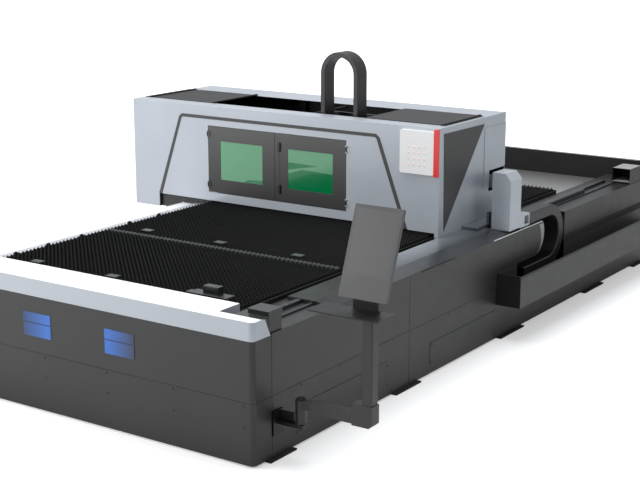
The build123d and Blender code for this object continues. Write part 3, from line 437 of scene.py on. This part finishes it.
# Moulded plastics: nylon of the chains and motors, ABS of the control unit, film and paint of the screen
# The side chain is painted near black low down, painted shade on its lower run deep in the dark well.
SIDE_CHAIN_NYLON = Graded("moulded_side_chain_nylon", "#040404", roughness=0.4, grain_mm=2.5, bump=0.06,
                          second="#242425", along=Axis.Z, start=0.46, end=0.54)
BLACK_NYLON = Finish("moulded_black_nylon", "#161617", roughness=0.48, grain_mm=2.5, bump=0.12)
CHAIN_NYLON = Finish("moulded_chain_nylon", "#242425", roughness=0.36, grain_mm=2.5, bump=0.06)
WHITE_ABS = Finish("moulded_white_abs", "#e6e6e6", roughness=0.4, grain_mm=2, bump=0.04, drift=0.01)
RED_ABS = Finish("moulded_red_abs", "#e02f30", roughness=0.3, coat=0.3, grain_mm=2, bump=0.03, drift=0.02)
DOT_PINK = Finish("printed_pale_red_dots", "#f1d9d9", roughness=0.5, grain_mm=2, bump=0.02, drift=0.01)
SCREEN_CASE = Finish("powder_coat_screen_grey", "#454546", roughness=0.45, grain_mm=4, bump=0.06, drift=0.03)
SCREEN_FACE = Finish("matt_screen_film", "#484849", roughness=0.4, grain_mm=3, bump=0.02, drift=0.02)
# A bare steel plate that turns darker towards its rear end.
FLOOR_PLATE = Graded("bare_floor_plate_steel", "#a2a2a2", roughness=0.42, metallic=0.2, grain_mm=8, bump=0.06,
                     second="#5c5c5c", along=Axis.Y, start=2.0, end=3.05)
# Rubber, turned copper, machined aluminium and small painted parts
RUBBER = Finish("pad_rubber_black", "#161616", roughness=0.8, grain_mm=3, bump=0.2)
COPPER = BrushedSteel("turned_copper", "#b06a3c", roughness=0.3, metallic=1.0, grain_mm=2, bump=0.1,
                      along=Axis.X)
ALUMINIUM = BrushedSteel("machined_aluminium", "#a9abad", roughness=0.34, metallic=0.9, grain_mm=3, bump=0.1)
BLACK_PAINT = Finish("semi_gloss_black_paint", "#0a0a0a", roughness=0.4, grain_mm=5, bump=0.08)
SEAM_BLACK = Finish("shadow_gap_black", "#141414", roughness=0.7, grain_mm=5, bump=0.02)
# A painted highlight along the wall's top edge.
EDGE_HIGHLIGHT = Finish("painted_edge_highlight", "#d4d7db", roughness=0.35, metallic=0.2, grain_mm=3, bump=0.02)
ARC_GREY = Finish("cut_edge_grey", "#8a8a8a", roughness=0.45, grain_mm=4, bump=0.04)
# Laser safety panes of green acrylic, and the bare blue sign fields
PANE_LEFT = TintedPane("green_pane_left", "#5e9a74", roughness=0.14, left_x=-1.002, width=0.435,
                       field=(0.97, -0.08, 1.35, -0.65))
PANE_RIGHT = TintedPane("green_pane_right", "#5e9a74", roughness=0.14, left_x=-0.308,
                        wedge=(0.33, 0.03, 0.52, -0.25))
SIGN_LEFT = LightField("lit_blue_field_left", "#1d2b45", roughness=0.3, second="#2f62b0", along=Axis.X,
                       start=-0.5, end=-0.24)
SIGN_RIGHT = LightField("lit_blue_field_right", "#2f62b0", roughness=0.3, second="#2b3444", along=Axis.X,
                        start=0.3, end=0.52)

NODE_FINISH: dict[str, Finish] = {
    "front_panel_upper": BODY_PAINT, "front_panel_lower": BODY_PAINT, "side_panels_upper": BODY_PAINT,
    "side_panels_lower": BODY_PAINT, "access_covers": BODY_PAINT, "panel_screws": BLACK_PAINT,
    "sign_fields": SIGN_LEFT, "front_trim": TRIM_PAINT, "side_beams": BEAM_PAINT,
    "cross_members": FRAME_STEEL, "foot_pads": RUBBER, "scrap_tray": FRAME_STEEL,
    "guide_rails": RAIL_STEEL, "racks": RAIL_STEEL,
    "rack_shrouds": BEAM_PAINT, "front_end_caps": CAP_PAINT, "rear_end_boxes": BOX_PAINT,
    "rear_wall": WALL_PAINT, "rear_floor_plate": FLOOR_PLATE, "pallet_frame": FRAME_STEEL,
    "support_blades": SLAT_STEEL, "comb_bars": COMB_STEEL, "pallet_tabs": TAB_STEEL, "table_clamp": CAP_PAINT,
    "cable_tray": TRAY_PAINT, "side_energy_chain": CHAIN_NYLON, "arm_wall_bracket": BLACK_PAINT,
    "cover_shell": COVER_PAINT, "front_strip": STRIP_PAINT, "dust_skirt": SKIRT_PAINT,
    "top_bars": BLACK_PAINT, "top_slat_cover": SLAT_COVER, "side_triangle_plate": STRIP_PAINT,
    "side_raised_sheet": SILVER_PAINT,
    "control_unit": WHITE_ABS, "control_unit_cap": RED_ABS, "cover_ribs": COVER_PAINT,
    "gantry_beam": FRAME_STEEL, "beam_rails": BARE_STEEL, "saddles": WAY_PAINT, "gantry_motors": BLACK_NYLON,
    "chain_bracket": SILVER_PAINT, "door_left": DOOR_PAINT, "door_right": DOOR_PAINT, "glass_left": PANE_LEFT,
    "glass_right": PANE_RIGHT, "latch_upper": BLACK_PAINT, "latch_lower": BLACK_PAINT,
    "carriage_plate": BLACK_PAINT, "carriage_motor": BLACK_NYLON, "arch_energy_chain": CHAIN_NYLON,
    "z_slide": ALUMINIUM, "cutting_head": ALUMINIUM, "nozzle": COPPER, "swing_arm": BODY_PAINT,
    "arm_post": BODY_PAINT, "keyboard_shelf": BLACK_PAINT, "monitor_neck": BLACK_PAINT,
    "monitor_case": SCREEN_CASE, "monitor_screen": SCREEN_FACE,
}
EASED_EDGES_MM: dict[str, float] = {
    "front_trim": 5, "cover_shell": 4, "front_end_caps": 8, "cable_tray": 5, "chain_bracket": 5,
    "control_unit": 6, "control_unit_cap": 5, "monitor_case": 3, "keyboard_shelf": 6, "swing_arm": 6,
    "arm_post": 3, "side_raised_sheet": 3, "rear_end_boxes": 6, "top_bars": 3, "rack_shrouds": 3,
    "side_beams": 3, "arm_wall_bracket": 3, "rear_wall": 3, "door_left": 1.2, "door_right": 1.2,
    "pallet_frame": 2, "saddles": 2, "gantry_motors": 3, "latch_upper": 1.5, "latch_lower": 1.5,
}


def mesh_piece(name: str, points: np.ndarray, faces: Sequence[Sequence[int]],
               finish: Finish) -> bpy.types.Object:
    """Puts points and faces into a new object at the origin.

    Args:
        name: the piece's name.
        points: an N by 3 array in metres.
        faces: the vertex numbers of each face, in order seen from outside.
        finish: the surface finish.

    Returns:
        The new object.
    """
    mesh = bpy.data.meshes.new(name)
    mesh.from_pydata(points.tolist(), [], [list(f) for f in faces])
    mesh.update()
    piece = bpy.data.objects.new(name, mesh)
    bpy.context.scene.collection.objects.link(piece)
    mesh.materials.append(finish.material())
    return piece


def box_stack(boxes: np.ndarray) -> tuple[np.ndarray, np.ndarray]:
    """Corners and faces of many boxes at once.

    Each row of boxes is x0, x1, y0, y1, z0, z1. Corner k of a box takes its low or high value on each axis by
    the bits of k.

    Args:
        boxes: an N by 6 array in metres.

    Returns:
        An 8N by 3 array of points and a 6N by 4 array of faces.
    """
    bits = np.array([[k & 1, (k >> 1) & 1, (k >> 2) & 1] for k in range(8)])
    low = boxes[:, None, 0::2]
    high = boxes[:, None, 1::2]
    points = (low + (high - low) * bits[None]).reshape(-1, 3)
    one = np.array([[0, 2, 3, 1], [4, 5, 7, 6], [0, 1, 5, 4], [2, 6, 7, 3], [0, 4, 6, 2], [1, 3, 7, 5]])
    faces = (one[None] + 8 * np.arange(len(boxes))[:, None, None]).reshape(-1, 4)
    return points, faces


def ease_edges(piece: bpy.types.Object, width: float, segments: int = 2) -> None:
    """Rounds the sharp edges of a piece with a weld and a bevel.

    Args:
        piece: the object.
        width: bevel width in metres.
        segments: how many faces each rounded edge has.
    """
    weld = piece.modifiers.new("join", "WELD")
    weld.merge_threshold = 0.00002
    bevel = piece.modifiers.new("ease", "BEVEL")
    bevel.width = width
    bevel.segments = segments
    bevel.limit_method = "ANGLE"
    bevel.angle_limit = math.radians(40)
    bevel.use_clamp_overlap = True


@dataclass
class SupportTable:
    """The toothed slats and the comb bars of the pallet."""

    pitch: float = 38 * MM
    thick: float = 3 * MM
    tooth: float = 38 * MM
    tooth_depth: float = 15 * MM
    comb_rise: float = 6 * MM
    comb_thick: float = 6 * MM
    comb_half: float = 8 * MM
    edge_slat_x: float = -1.068
    edge_slat_bottom: float = 0.817
    next_slat_x: float = -1.05
    next_slat_bottom: float = 0.836
    made: list = field(default_factory=list)

    def slats(self) -> bpy.types.Object:
        """Makes every slat in one mesh.

        Along a slat the top edge is a zigzag, z = top - depth * |2 f - 1|, where f is the place within a
        tooth. So each slat is a strip of points with a left and right copy and a bottom edge.

        Returns:
            The slats.
        """
        low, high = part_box("support_blades")
        count = int(round((high.x - low.x - self.thick) / self.pitch)) + 1
        middle = low.x + self.thick / 2 + self.pitch * np.arange(count)
        steps = int((high.y - low.y) / (self.tooth / 2))
        y = np.linspace(low.y, high.y, steps + 1)
        z = high.z - self.tooth_depth * (np.arange(steps + 1) % 2)
        bottom = np.where(middle < self.next_slat_x, self.next_slat_bottom, low.z)
        bottom = np.where(middle < self.edge_slat_x, self.edge_slat_bottom, bottom)
        n = len(y)
        grid = np.zeros((count, 4, n, 3))
        for row, (dx, top) in enumerate(((-0.5, True), (0.5, True), (0.5, False), (-0.5, False))):
            grid[:, row, :, 0] = (middle + dx * self.thick)[:, None]
            grid[:, row, :, 1] = y[None]
            grid[:, row, :, 2] = z[None] if top else bottom[:, None]
        points = grid.reshape(-1, 3)
        start = np.arange(count)[:, None] * 4 * n
        k = np.arange(n - 1)[None]
        rows = []
        for a, b in ((0, 1), (1, 2), (3, 0)):
            rows.append(np.stack([start + a * n + k, start + b * n + k, start + b * n + k + 1,
                                  start + a * n + k + 1], axis=-1).reshape(-1, 4))
        ends = np.stack([start[:, 0] + r * n for r in (3, 2, 1, 0)], axis=-1)
        last = np.stack([start[:, 0] + r * n + n - 1 for r in (0, 1, 2, 3)], axis=-1)
        under = np.stack([start[:, 0] + 2 * n, start[:, 0] + 3 * n, start[:, 0] + 4 * n - 1,
                          start[:, 0] + 3 * n - 1], axis=-1)
        faces = np.concatenate(rows + [ends, last, under])
        piece = mesh_piece("toothed_slats", points, faces, SLAT_STEEL)
        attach(piece, "bed")
        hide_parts("support_blades")
        return piece

    def comb_teeth(self) -> bpy.types.Object:
        """Small upright teeth on the comb bars, one between each pair of slats.

        Returns:
            The teeth.
        """
        low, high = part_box("comb_bars")
        blade_low, blade_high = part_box("support_blades")
        count = int(round((blade_high.x - blade_low.x - self.thick) / self.pitch)) + 1
        x = blade_low.x + self.thick / 2 + self.pitch * (np.arange(count - 1) + 0.5)
        rows = np.tile([0, 0, low.y, low.y + self.comb_thick, high.z, high.z + self.comb_rise], (len(x), 1))
        rows[:, 0] = x - self.comb_half
        rows[:, 1] = x + self.comb_half
        points, faces = box_stack(rows)
        piece = mesh_piece("comb_teeth", points, faces, COMB_STEEL)
        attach(piece, "bed")
        return piece

    def build(self) -> None:
        """Makes the pieces."""
        self.made = [self.slats(), self.comb_teeth()]
        LOG.info("support table: %d pieces", len(self.made))


@dataclass
class LinkBand:
    """An energy chain drawn as closed links along a flat path."""

    name: str
    node: str
    path: np.ndarray
    side: np.ndarray
    width: float
    thick: float
    pitch: float
    gap: float = 0.6 * MM
    steps: int = 5
    look: float = 2 * MM
    corner_share: float = 0.14
    finish: Finish = CHAIN_NYLON

    def section(self) -> np.ndarray:
        """Eight corner points of one link's section: a rectangle with cut corners, in width and thickness."""
        w = self.width / 2
        t = self.thick / 2
        c = min(w, t) * self.corner_share
        return np.array([[-w, -t + c], [-w + c, -t], [w - c, -t], [w, -t + c],
                         [w, t - c], [w - c, t], [-w + c, t], [-w, t - c]])

    def build(self) -> bpy.types.Object:
        """Carries the section along the path, with a short gap between one link and the next.

        Returns:
            The chain.
        """
        steps = np.linalg.norm(np.diff(self.path, axis=0), axis=1)
        reach = np.concatenate([[0], np.cumsum(steps)])
        total = reach[-1]
        count = max(1, int(round(total / self.pitch)))
        edges = np.linspace(0, total, count + 1)
        t = np.linspace(0, 1, self.steps)
        along = (edges[:-1, None] + self.gap / 2) + (np.diff(edges)[:, None] - self.gap) * t[None]
        flat = along.reshape(-1)
        centre = np.stack([np.interp(flat, reach, self.path[:, a]) for a in range(3)], axis=-1)
        later = np.minimum(flat + self.look, total)
        earlier = np.maximum(flat - self.look, 0)
        ahead = np.stack([np.interp(later, reach, self.path[:, a]) for a in range(3)], axis=-1)
        behind = np.stack([np.interp(earlier, reach, self.path[:, a]) for a in range(3)], axis=-1)
        tangent = ahead - behind
        tangent /= np.linalg.norm(tangent, axis=1)[:, None]
        out = np.cross(tangent, self.side[None])
        profile = self.section()
        across = profile[None, :, :1] * self.side[None, None]
        upward = profile[None, :, 1:] * out[:, None]
        points = (centre[:, None] + across + upward).reshape(-1, 3)
        faces = []
        for link in range(count):
            base = link * self.steps * 8
            for s in range(self.steps - 1):
                for k in range(8):
                    m = (k + 1) % 8
                    a = base + s * 8
                    faces.append((a + k, a + m, a + 8 + m, a + 8 + k))
            faces.append(tuple(base + k for k in reversed(range(8))))
            faces.append(tuple(base + (self.steps - 1) * 8 + k for k in range(8)))
        piece = mesh_piece(self.name, points, faces, self.finish)
        work = bmesh.new()
        work.from_mesh(piece.data)
        bmesh.ops.recalc_face_normals(work, faces=work.faces)
        work.to_mesh(piece.data)
        work.free()
        return piece


@dataclass
class Chains:
    """The side chain with its bend in the wall well, and the upright chain over the cover."""

    side_x: float = 1.3795
    bend_y: float = 0.97
    bend_z: float = 0.649
    bend_radius: float = 0.217
    upper_start: float = 0.577
    lower_end: float = 0.5
    side_width: float = 0.133
    side_thick: float = 0.09
    side_pitch: float = 0.052
    side_still_y: float = 0.95
    side_carried_y: float = 0.6
    arch_x: float = 0.052
    arch_y: float = -0.025
    arch_radius: float = 0.1565
    arch_mid_z: float = 1.995
    arch_left_foot: float = 1.6
    arch_right_foot: float = 1.44
    arch_width: float = 0.14
    arch_thick: float = 0.041
    arch_pitch: float = 0.042
    arch_share_x: float = 0.13
    arch_share_z: float = 1.9

    def side_chain(self) -> bpy.types.Object:
        """Upper run back to the bend, half a circle down round it, and the lower run forward again."""
        angle = np.linspace(0, math.pi, 40)
        ring = np.stack([np.full_like(angle, self.side_x), self.bend_y + self.bend_radius * np.sin(angle),
                         self.bend_z + self.bend_radius * np.cos(angle)], axis=-1)
        first = np.array([[self.side_x, self.upper_start, self.bend_z + self.bend_radius]])
        last = np.array([[self.side_x, self.lower_end, self.bend_z - self.bend_radius]])
        path = np.concatenate([first, ring, last])
        band = LinkBand("side_chain_links", "side_energy_chain", path, np.array([1.0, 0, 0]), self.side_width,
                        self.side_thick, self.side_pitch, finish=SIDE_CHAIN_NYLON)
        piece = band.build()
        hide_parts("side_energy_chain")
        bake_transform(piece)
        return piece

    def arch_chain(self) -> bpy.types.Object:
        """Left leg up, half a circle over the top, and the right leg down to the head's slide."""
        angle = np.linspace(math.pi, 0, 40)
        ring = np.stack([self.arch_x + self.arch_radius * np.cos(angle), np.full_like(angle, self.arch_y),
                         self.arch_mid_z + self.arch_radius * np.sin(angle)], axis=-1)
        first = np.array([[self.arch_x - self.arch_radius, self.arch_y, self.arch_left_foot]])
        last = np.array([[self.arch_x + self.arch_radius, self.arch_y, self.arch_right_foot]])
        path = np.concatenate([first, ring, last])
        band = LinkBand("arch_chain_links", "arch_energy_chain", path, np.array([0, 1.0, 0]), self.arch_width,
                        self.arch_thick, self.arch_pitch)
        piece = band.build()
        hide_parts("arch_energy_chain")
        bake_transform(piece)
        return piece

    def build(self) -> None:
        """Makes both chains."""
        self.side_chain()
        self.arch_chain()
        LOG.info("energy chains built")


@dataclass
class PanelLines:
    """Shadow gaps between the panels, the pale edge strip on the wall, a painted highlight, and the edge of
    its round cut.
    """

    wall_x: float = 1.453
    front_y: float = FRONT_Y - 0.03
    skirt_z: float = 0.012
    seam_z: float = 0.411
    gap: float = 4 * MM
    proud: float = 0.6 * MM
    arc_y: float = FRONT_Y + 3.772
    arc_z: float = 0.711
    arc_radius: float = 0.17
    arc_shift: float = 0.075

    def lines(self) -> bpy.types.Object:
        """Thin dark strips along each seam of the bed."""
        w, g, p, y0, low = self.wall_x, self.gap / 2, self.proud, FRONT_Y, self.skirt_z
        z = self.seam_z
        rows = [
            (-w + 0.06, w - 0.04, self.front_y - p, self.front_y + 0.002, z - g, z + g),
            (w - 0.002, w + p, y0 + 0.02, 3.1, z - g, z + g),
            (-w - p, -w + 0.002, y0 + 0.02, 3.1, z - g, z + g),
            (w - 0.002, w + p, y0 + 0.159 - g, y0 + 0.159 + g, 0.315, 0.80),
            (w - 0.002, w + p, y0 + 0.159 - g, y0 + 0.159 + g, low, 0.15),
            (-w - p, -w + 0.002, y0 + 0.159 - g, y0 + 0.159 + g, low, 0.80),
            (w - 0.002, w + p, y0 + 1.79 - g, y0 + 1.79 + g, low, 0.807),
            (-w - p, -w + 0.002, y0 + 1.79 - g, y0 + 1.79 + g, low, 0.807),
            (w - 0.002, w + p, y0 + 3.10 - g, y0 + 3.10 + g, low, 0.54),
            # The last two strips are painted shade in slots: one just under the wall's top edge, one under
            # the wall's lower edge above the tray.
            (w - 0.002, w + p, y0 + 1.945, y0 + 2.425, 0.798, 0.8078),
            (w - 0.002, w + p, y0 + 4.345, 3.09, 0.545, 0.60),
        ]
        points, faces = box_stack(np.array(rows))
        piece = mesh_piece("panel_seams", points, faces, SEAM_BLACK)
        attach(piece, "bed")
        return piece

    def edge_strip(self) -> bpy.types.Object:
        """Pale strip on the outer top edge of the wall, beside the chain bracket: a painted highlight where
        the edge catches the light.
        """
        w = self.wall_x
        rows = [(w - 0.004, w + 0.0005, FRONT_Y + 3.05, FRONT_Y + 3.90, 0.8045, 0.81)]
        points, faces = box_stack(np.array(rows))
        piece = mesh_piece("wall_edge_strip", points, faces, EDGE_HIGHLIGHT)
        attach(piece, "bed")
        return piece

    def arc_edge(self) -> bpy.types.Object:
        """Pale crescent just inside the round cut, between a circle and the same circle moved forward."""
        count = 25
        turn = np.radians(np.linspace(28, -78, count))
        thin = np.linspace(1, 0.02, count)
        y = self.arc_y + (self.arc_radius - 0.004) * np.cos(turn)
        z = self.arc_z + (self.arc_radius - 0.004) * np.sin(turn)
        inner = y - self.arc_shift * thin
        x = np.full_like(y, self.wall_x + 0.0006)
        points = np.concatenate([np.stack([x, y, z], -1), np.stack([x, inner, z], -1)])
        faces = [(k, k + count, k + count + 1, k + 1) for k in range(count - 1)]
        piece = mesh_piece("round_cut_edge", points, [f[::-1] for f in faces], ARC_GREY)
        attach(piece, "bed")
        return piece

    def build(self) -> None:
        """Makes the strips."""
        self.lines()
        self.edge_strip()
        self.arc_edge()
        LOG.info("panel lines built")


@dataclass
class WayCover:
    """Smooth sheet that hides the rail and the rack from the open front part to the gantry.

    On the machine it is fixed to the bed in front and to the gantry at its rear end, and draws together
    between them; here it is one still sheet, and only its front lip is attached to the bed.
    """

    inner_x: float = 1.1
    foot_x: float = 1.236
    crest_x: float = 1.31
    outer_x: float = 1.4505
    top_z: float = 0.834
    edge_z: float = 0.8095
    start_y: float = FRONT_Y + 0.82
    foot_y: float = FRONT_Y + 3.178
    end_y: float = FRONT_Y + 3.322
    thick: float = 2 * MM
    steps: int = 24

    def build(self) -> None:
        """Carries one folded section along Y, flat over the rail and sloping to the wall, with closed ends.

        The last step starts further out, past the foot of the gantry's saddle.
        """
        y = np.append(np.linspace(self.start_y, self.foot_y, self.steps), [self.foot_y, self.end_y])
        inner = np.where(np.arange(len(y)) < self.steps, self.inner_x, self.foot_x)
        section = np.array([
            [0, self.top_z], [self.crest_x, self.top_z], [self.outer_x, self.edge_z],
            [self.outer_x, self.edge_z - self.thick * 0.6], [self.crest_x, self.top_z - self.thick],
            [0, self.top_z - self.thick],
        ])
        points = np.zeros((len(y), 6, 3))
        points[..., 0] = section[None, :, 0]
        points[:, [0, 5], 0] = inner[:, None]
        points[..., 1] = y[:, None]
        points[..., 2] = section[None, :, 1]
        faces = []
        for s in range(len(y) - 1):
            for k in range(6):
                m = (k + 1) % 6
                faces.append((6 * s + k, 6 * s + 6 + k, 6 * s + 6 + m, 6 * s + m))
        faces.append(tuple(range(6)))
        faces.append(tuple(6 * len(y) - 6 + k for k in reversed(range(6))))
        piece = mesh_piece("way_cover_sheet", points.reshape(-1, 3), faces, WAY_PAINT)
        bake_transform(piece)
        lip = [
            (self.inner_x, 1.178, 0.809, 0.8318), (1.218, 1.282, 0.809, 0.8318),
            (1.282, 1.308, 0.8215, 0.8318), (1.308, 1.36, 0.809, 0.8235), (1.36, 1.41, 0.809, 0.8145),
        ]
        rows = [(x0, x1, self.start_y - 0.002, self.start_y + 0.0005, z0, z1) for x0, x1, z0, z1 in lip]
        points, faces = box_stack(np.array(rows))
        end = mesh_piece("way_cover_end", points, faces, BEAM_PAINT)
        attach(end, "bed")
        LOG.info("way cover built")


@dataclass
class ControlFace:
    """Four rows of small domed dots on the white unit."""

    centre_x: float = 0.912
    centre_z: float = 1.455
    pitch: float = 0.046
    radius: float = 0.0105
    height: float = 0.0025
    rows: int = 4
    rings: int = 3
    sides: int = 12

    def build(self) -> None:
        """Each dot is a low dome: rings of radius r cos(a) at a height h sin(a) in front of the face."""
        low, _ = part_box("control_unit")
        face_y = low.y
        turn = np.linspace(0, 2 * math.pi, self.sides, endpoint=False)
        rise = np.linspace(0, math.pi / 2, self.rings + 1)[:self.rings]
        reach = np.cos(rise)[:, None]
        ring = np.stack([np.cos(turn)[None] * reach, np.sin(turn)[None] * reach,
                         np.repeat(np.sin(rise)[:, None], self.sides, 1)], -1)
        skin = self.rings * self.sides
        points = []
        faces = []
        for i in range(self.rows):
            for j in range(self.rows):
                x = self.centre_x + (i - (self.rows - 1) / 2) * self.pitch
                z = self.centre_z + (j - (self.rows - 1) / 2) * self.pitch
                base = len(points) * (skin + 1)
                dome = np.zeros((skin + 1, 3))
                dome[:skin, 0] = x + self.radius * ring[..., 0].reshape(-1)
                dome[:skin, 2] = z + self.radius * ring[..., 1].reshape(-1)
                dome[:skin, 1] = face_y - self.height * ring[..., 2].reshape(-1)
                dome[skin] = (x, face_y - self.height, z)
                points.append(dome)
                for r in range(self.rings - 1):
                    low_ring = base + r * self.sides
                    high_ring = low_ring + self.sides
                    for k in range(self.sides):
                        m = (k + 1) % self.sides
                        faces.append((low_ring + k, low_ring + m, high_ring + m, high_ring + k))
                last = base + skin - self.sides
                for k in range(self.sides):
                    faces.append((last + k, last + (k + 1) % self.sides, base + skin))
        piece = mesh_piece("control_dots", np.concatenate(points), faces, DOT_PINK)
        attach(piece, "gantry")
        LOG.info("control dots built")


@dataclass
class Studio:
    """Camera, floor and light."""

    eye: tuple[float, float, float] = (6.208, -9.412, 3.3)
    pitch: float = 13.8225
    yaw: float = 34.2309
    focal_px: float = 1397.6
    frame_px: float = 640.0
    sensor_mm: float = 36.0

    def camera(self) -> None:
        """Camera solved from the straight edges of the bed."""
        data = bpy.data.cameras.new("view")
        data.sensor_width = self.sensor_mm
        data.lens = self.focal_px / self.frame_px * self.sensor_mm
        data.clip_end = 200
        eye = bpy.data.objects.new("view", data)
        eye.location = self.eye
        eye.rotation_euler = (math.radians(90 - self.pitch), 0, math.radians(self.yaw))
        bpy.context.scene.collection.objects.link(eye)
        bpy.context.scene.camera = eye

    def floor(self) -> None:
        """Pale floor that keeps the shadow and meets the white background."""
        points, faces = box_stack(np.array([[-60.0, 60.0, -60.0, 60.0, -0.02, -0.0005]]))
        mesh = bpy.data.meshes.new("floor")
        mesh.from_pydata(points.tolist(), [], faces.tolist())
        ground = bpy.data.objects.new("floor", mesh)
        bpy.context.scene.collection.objects.link(ground)
        made = bpy.data.materials.new("studio_floor")
        made.use_nodes = True
        tree = made.node_tree
        tree.nodes.clear()
        light = add_node(tree, "ShaderNodeLightPath")
        matte = add_node(tree, "ShaderNodeBsdfDiffuse", Color=(0.86, 0.86, 0.86, 1))
        place = add_node(tree, "ShaderNodeTexCoord").outputs["Object"]
        reach = add_node(tree, "ShaderNodeVectorMath", {"operation": "LENGTH"}, i0=place)
        far = add_node(tree, "ShaderNodeMapRange", Value=reach.outputs["Value"])
        far.inputs["From Min"].default_value = 4.5
        far.inputs["From Max"].default_value = 9.0
        far.inputs["To Min"].default_value = 0.36
        far.inputs["To Max"].default_value = 1.0
        glow = add_node(tree, "ShaderNodeEmission", Color=(1, 1, 1, 1), Strength=far.outputs["Result"])
        none = add_node(tree, "ShaderNodeEmission", Color=(0, 0, 0, 1), Strength=0.0)
        pick = add_node(tree, "ShaderNodeMixShader", i0=light.outputs["Is Camera Ray"],
                        i1=none.outputs["Emission"], i2=glow.outputs["Emission"])
        both = add_node(tree, "ShaderNodeAddShader", i0=matte.outputs["BSDF"], i1=pick.outputs["Shader"])
        add_node(tree, "ShaderNodeOutputMaterial", Surface=both.outputs["Shader"])
        mesh.materials.append(made)

    def world(self) -> None:
        """White for the camera, softer for the light on the object and in reflections."""
        world = bpy.data.worlds.new("studio")
        bpy.context.scene.world = world
        world.use_nodes = True
        tree = world.node_tree
        tree.nodes.clear()
        light = add_node(tree, "ShaderNodeLightPath")
        white = add_node(tree, "ShaderNodeBackground", Color=(1, 1, 1, 1), Strength=1.0)
        soft = add_node(tree, "ShaderNodeBackground", Color=(0.95, 0.97, 1.0, 1), Strength=0.55)
        pick = add_node(tree, "ShaderNodeMixShader", i0=light.outputs["Is Camera Ray"],
                        i1=soft.outputs["Background"], i2=white.outputs["Background"])
        add_node(tree, "ShaderNodeOutputWorld", Surface=pick.outputs["Shader"])

    def lamp(self, name: str, place: Sequence[float], aim: Sequence[float], size: float,
             power: float) -> None:
        """Adds one square soft lamp.

        Args:
            name: the lamp's name.
            place: where it hangs.
            aim: the point it faces.
            size: the side of its square, in metres.
            power: watts.
        """
        data = bpy.data.lights.new(name, "AREA")
        data.size = size
        data.energy = power
        holder = bpy.data.objects.new(name, data)
        holder.location = place
        away = np.array(place) - np.array(aim)
        flat = math.hypot(away[0], away[1])
        holder.rotation_euler = (math.atan2(flat, away[2]), 0, math.atan2(away[1], away[0]) + math.pi / 2)
        bpy.context.scene.collection.objects.link(holder)

    def build(self) -> None:
        """Sets up the whole studio."""
        bpy.context.scene.view_settings.view_transform = "Standard"
        self.camera()
        self.floor()
        self.world()
        self.lamp("top_soft", (-1.0, -0.5, 8.0), (0, 0, 0.8), 7.0, 620)
        self.lamp("front_left", (-6.0, -9.0, 4.5), (0, -1.5, 0.9), 5.0, 560)
        self.lamp("right_side", (9.0, -1.0, 4.0), (1.0, 0.5, 0.7), 5.0, 60)
        LOG.info("studio built")


def split_signs(node: bpy.types.Object) -> None:
    """Gives the sign fields right of the middle their own finish, which fades the other way."""
    node.data.materials.append(SIGN_RIGHT.material())
    for face in node.data.polygons:
        if face.center.x > 0:
            face.material_index = len(node.data.materials) - 1


def dress_nodes(frame: dict) -> None:
    """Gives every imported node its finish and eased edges.
    """
    for name, node in frame["nodes"].items():
        finish = NODE_FINISH[name]
        made = finish.material()
        if not node.data.materials:
            node.data.materials.append(made)
        for number in range(len(node.data.materials)):
            node.data.materials[number] = made
        if name in EASED_EDGES_MM:
            ease_edges(node, EASED_EDGES_MM[name] * MM)
    split_signs(frame["nodes"]["sign_fields"])
    LOG.info("dressed %d nodes", len(frame["nodes"]))


def main() -> None:
    """Builds the classes in order."""
    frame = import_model()
    Studio().build()
    dress_nodes(frame)
    SupportTable().build()
    Chains().build()
    PanelLines().build()
    WayCover().build()
    ControlFace().build()
    bpy.context.view_layer.update()


if __name__ == "__main__":
    logging.basicConfig(level=logging.INFO)
    main()
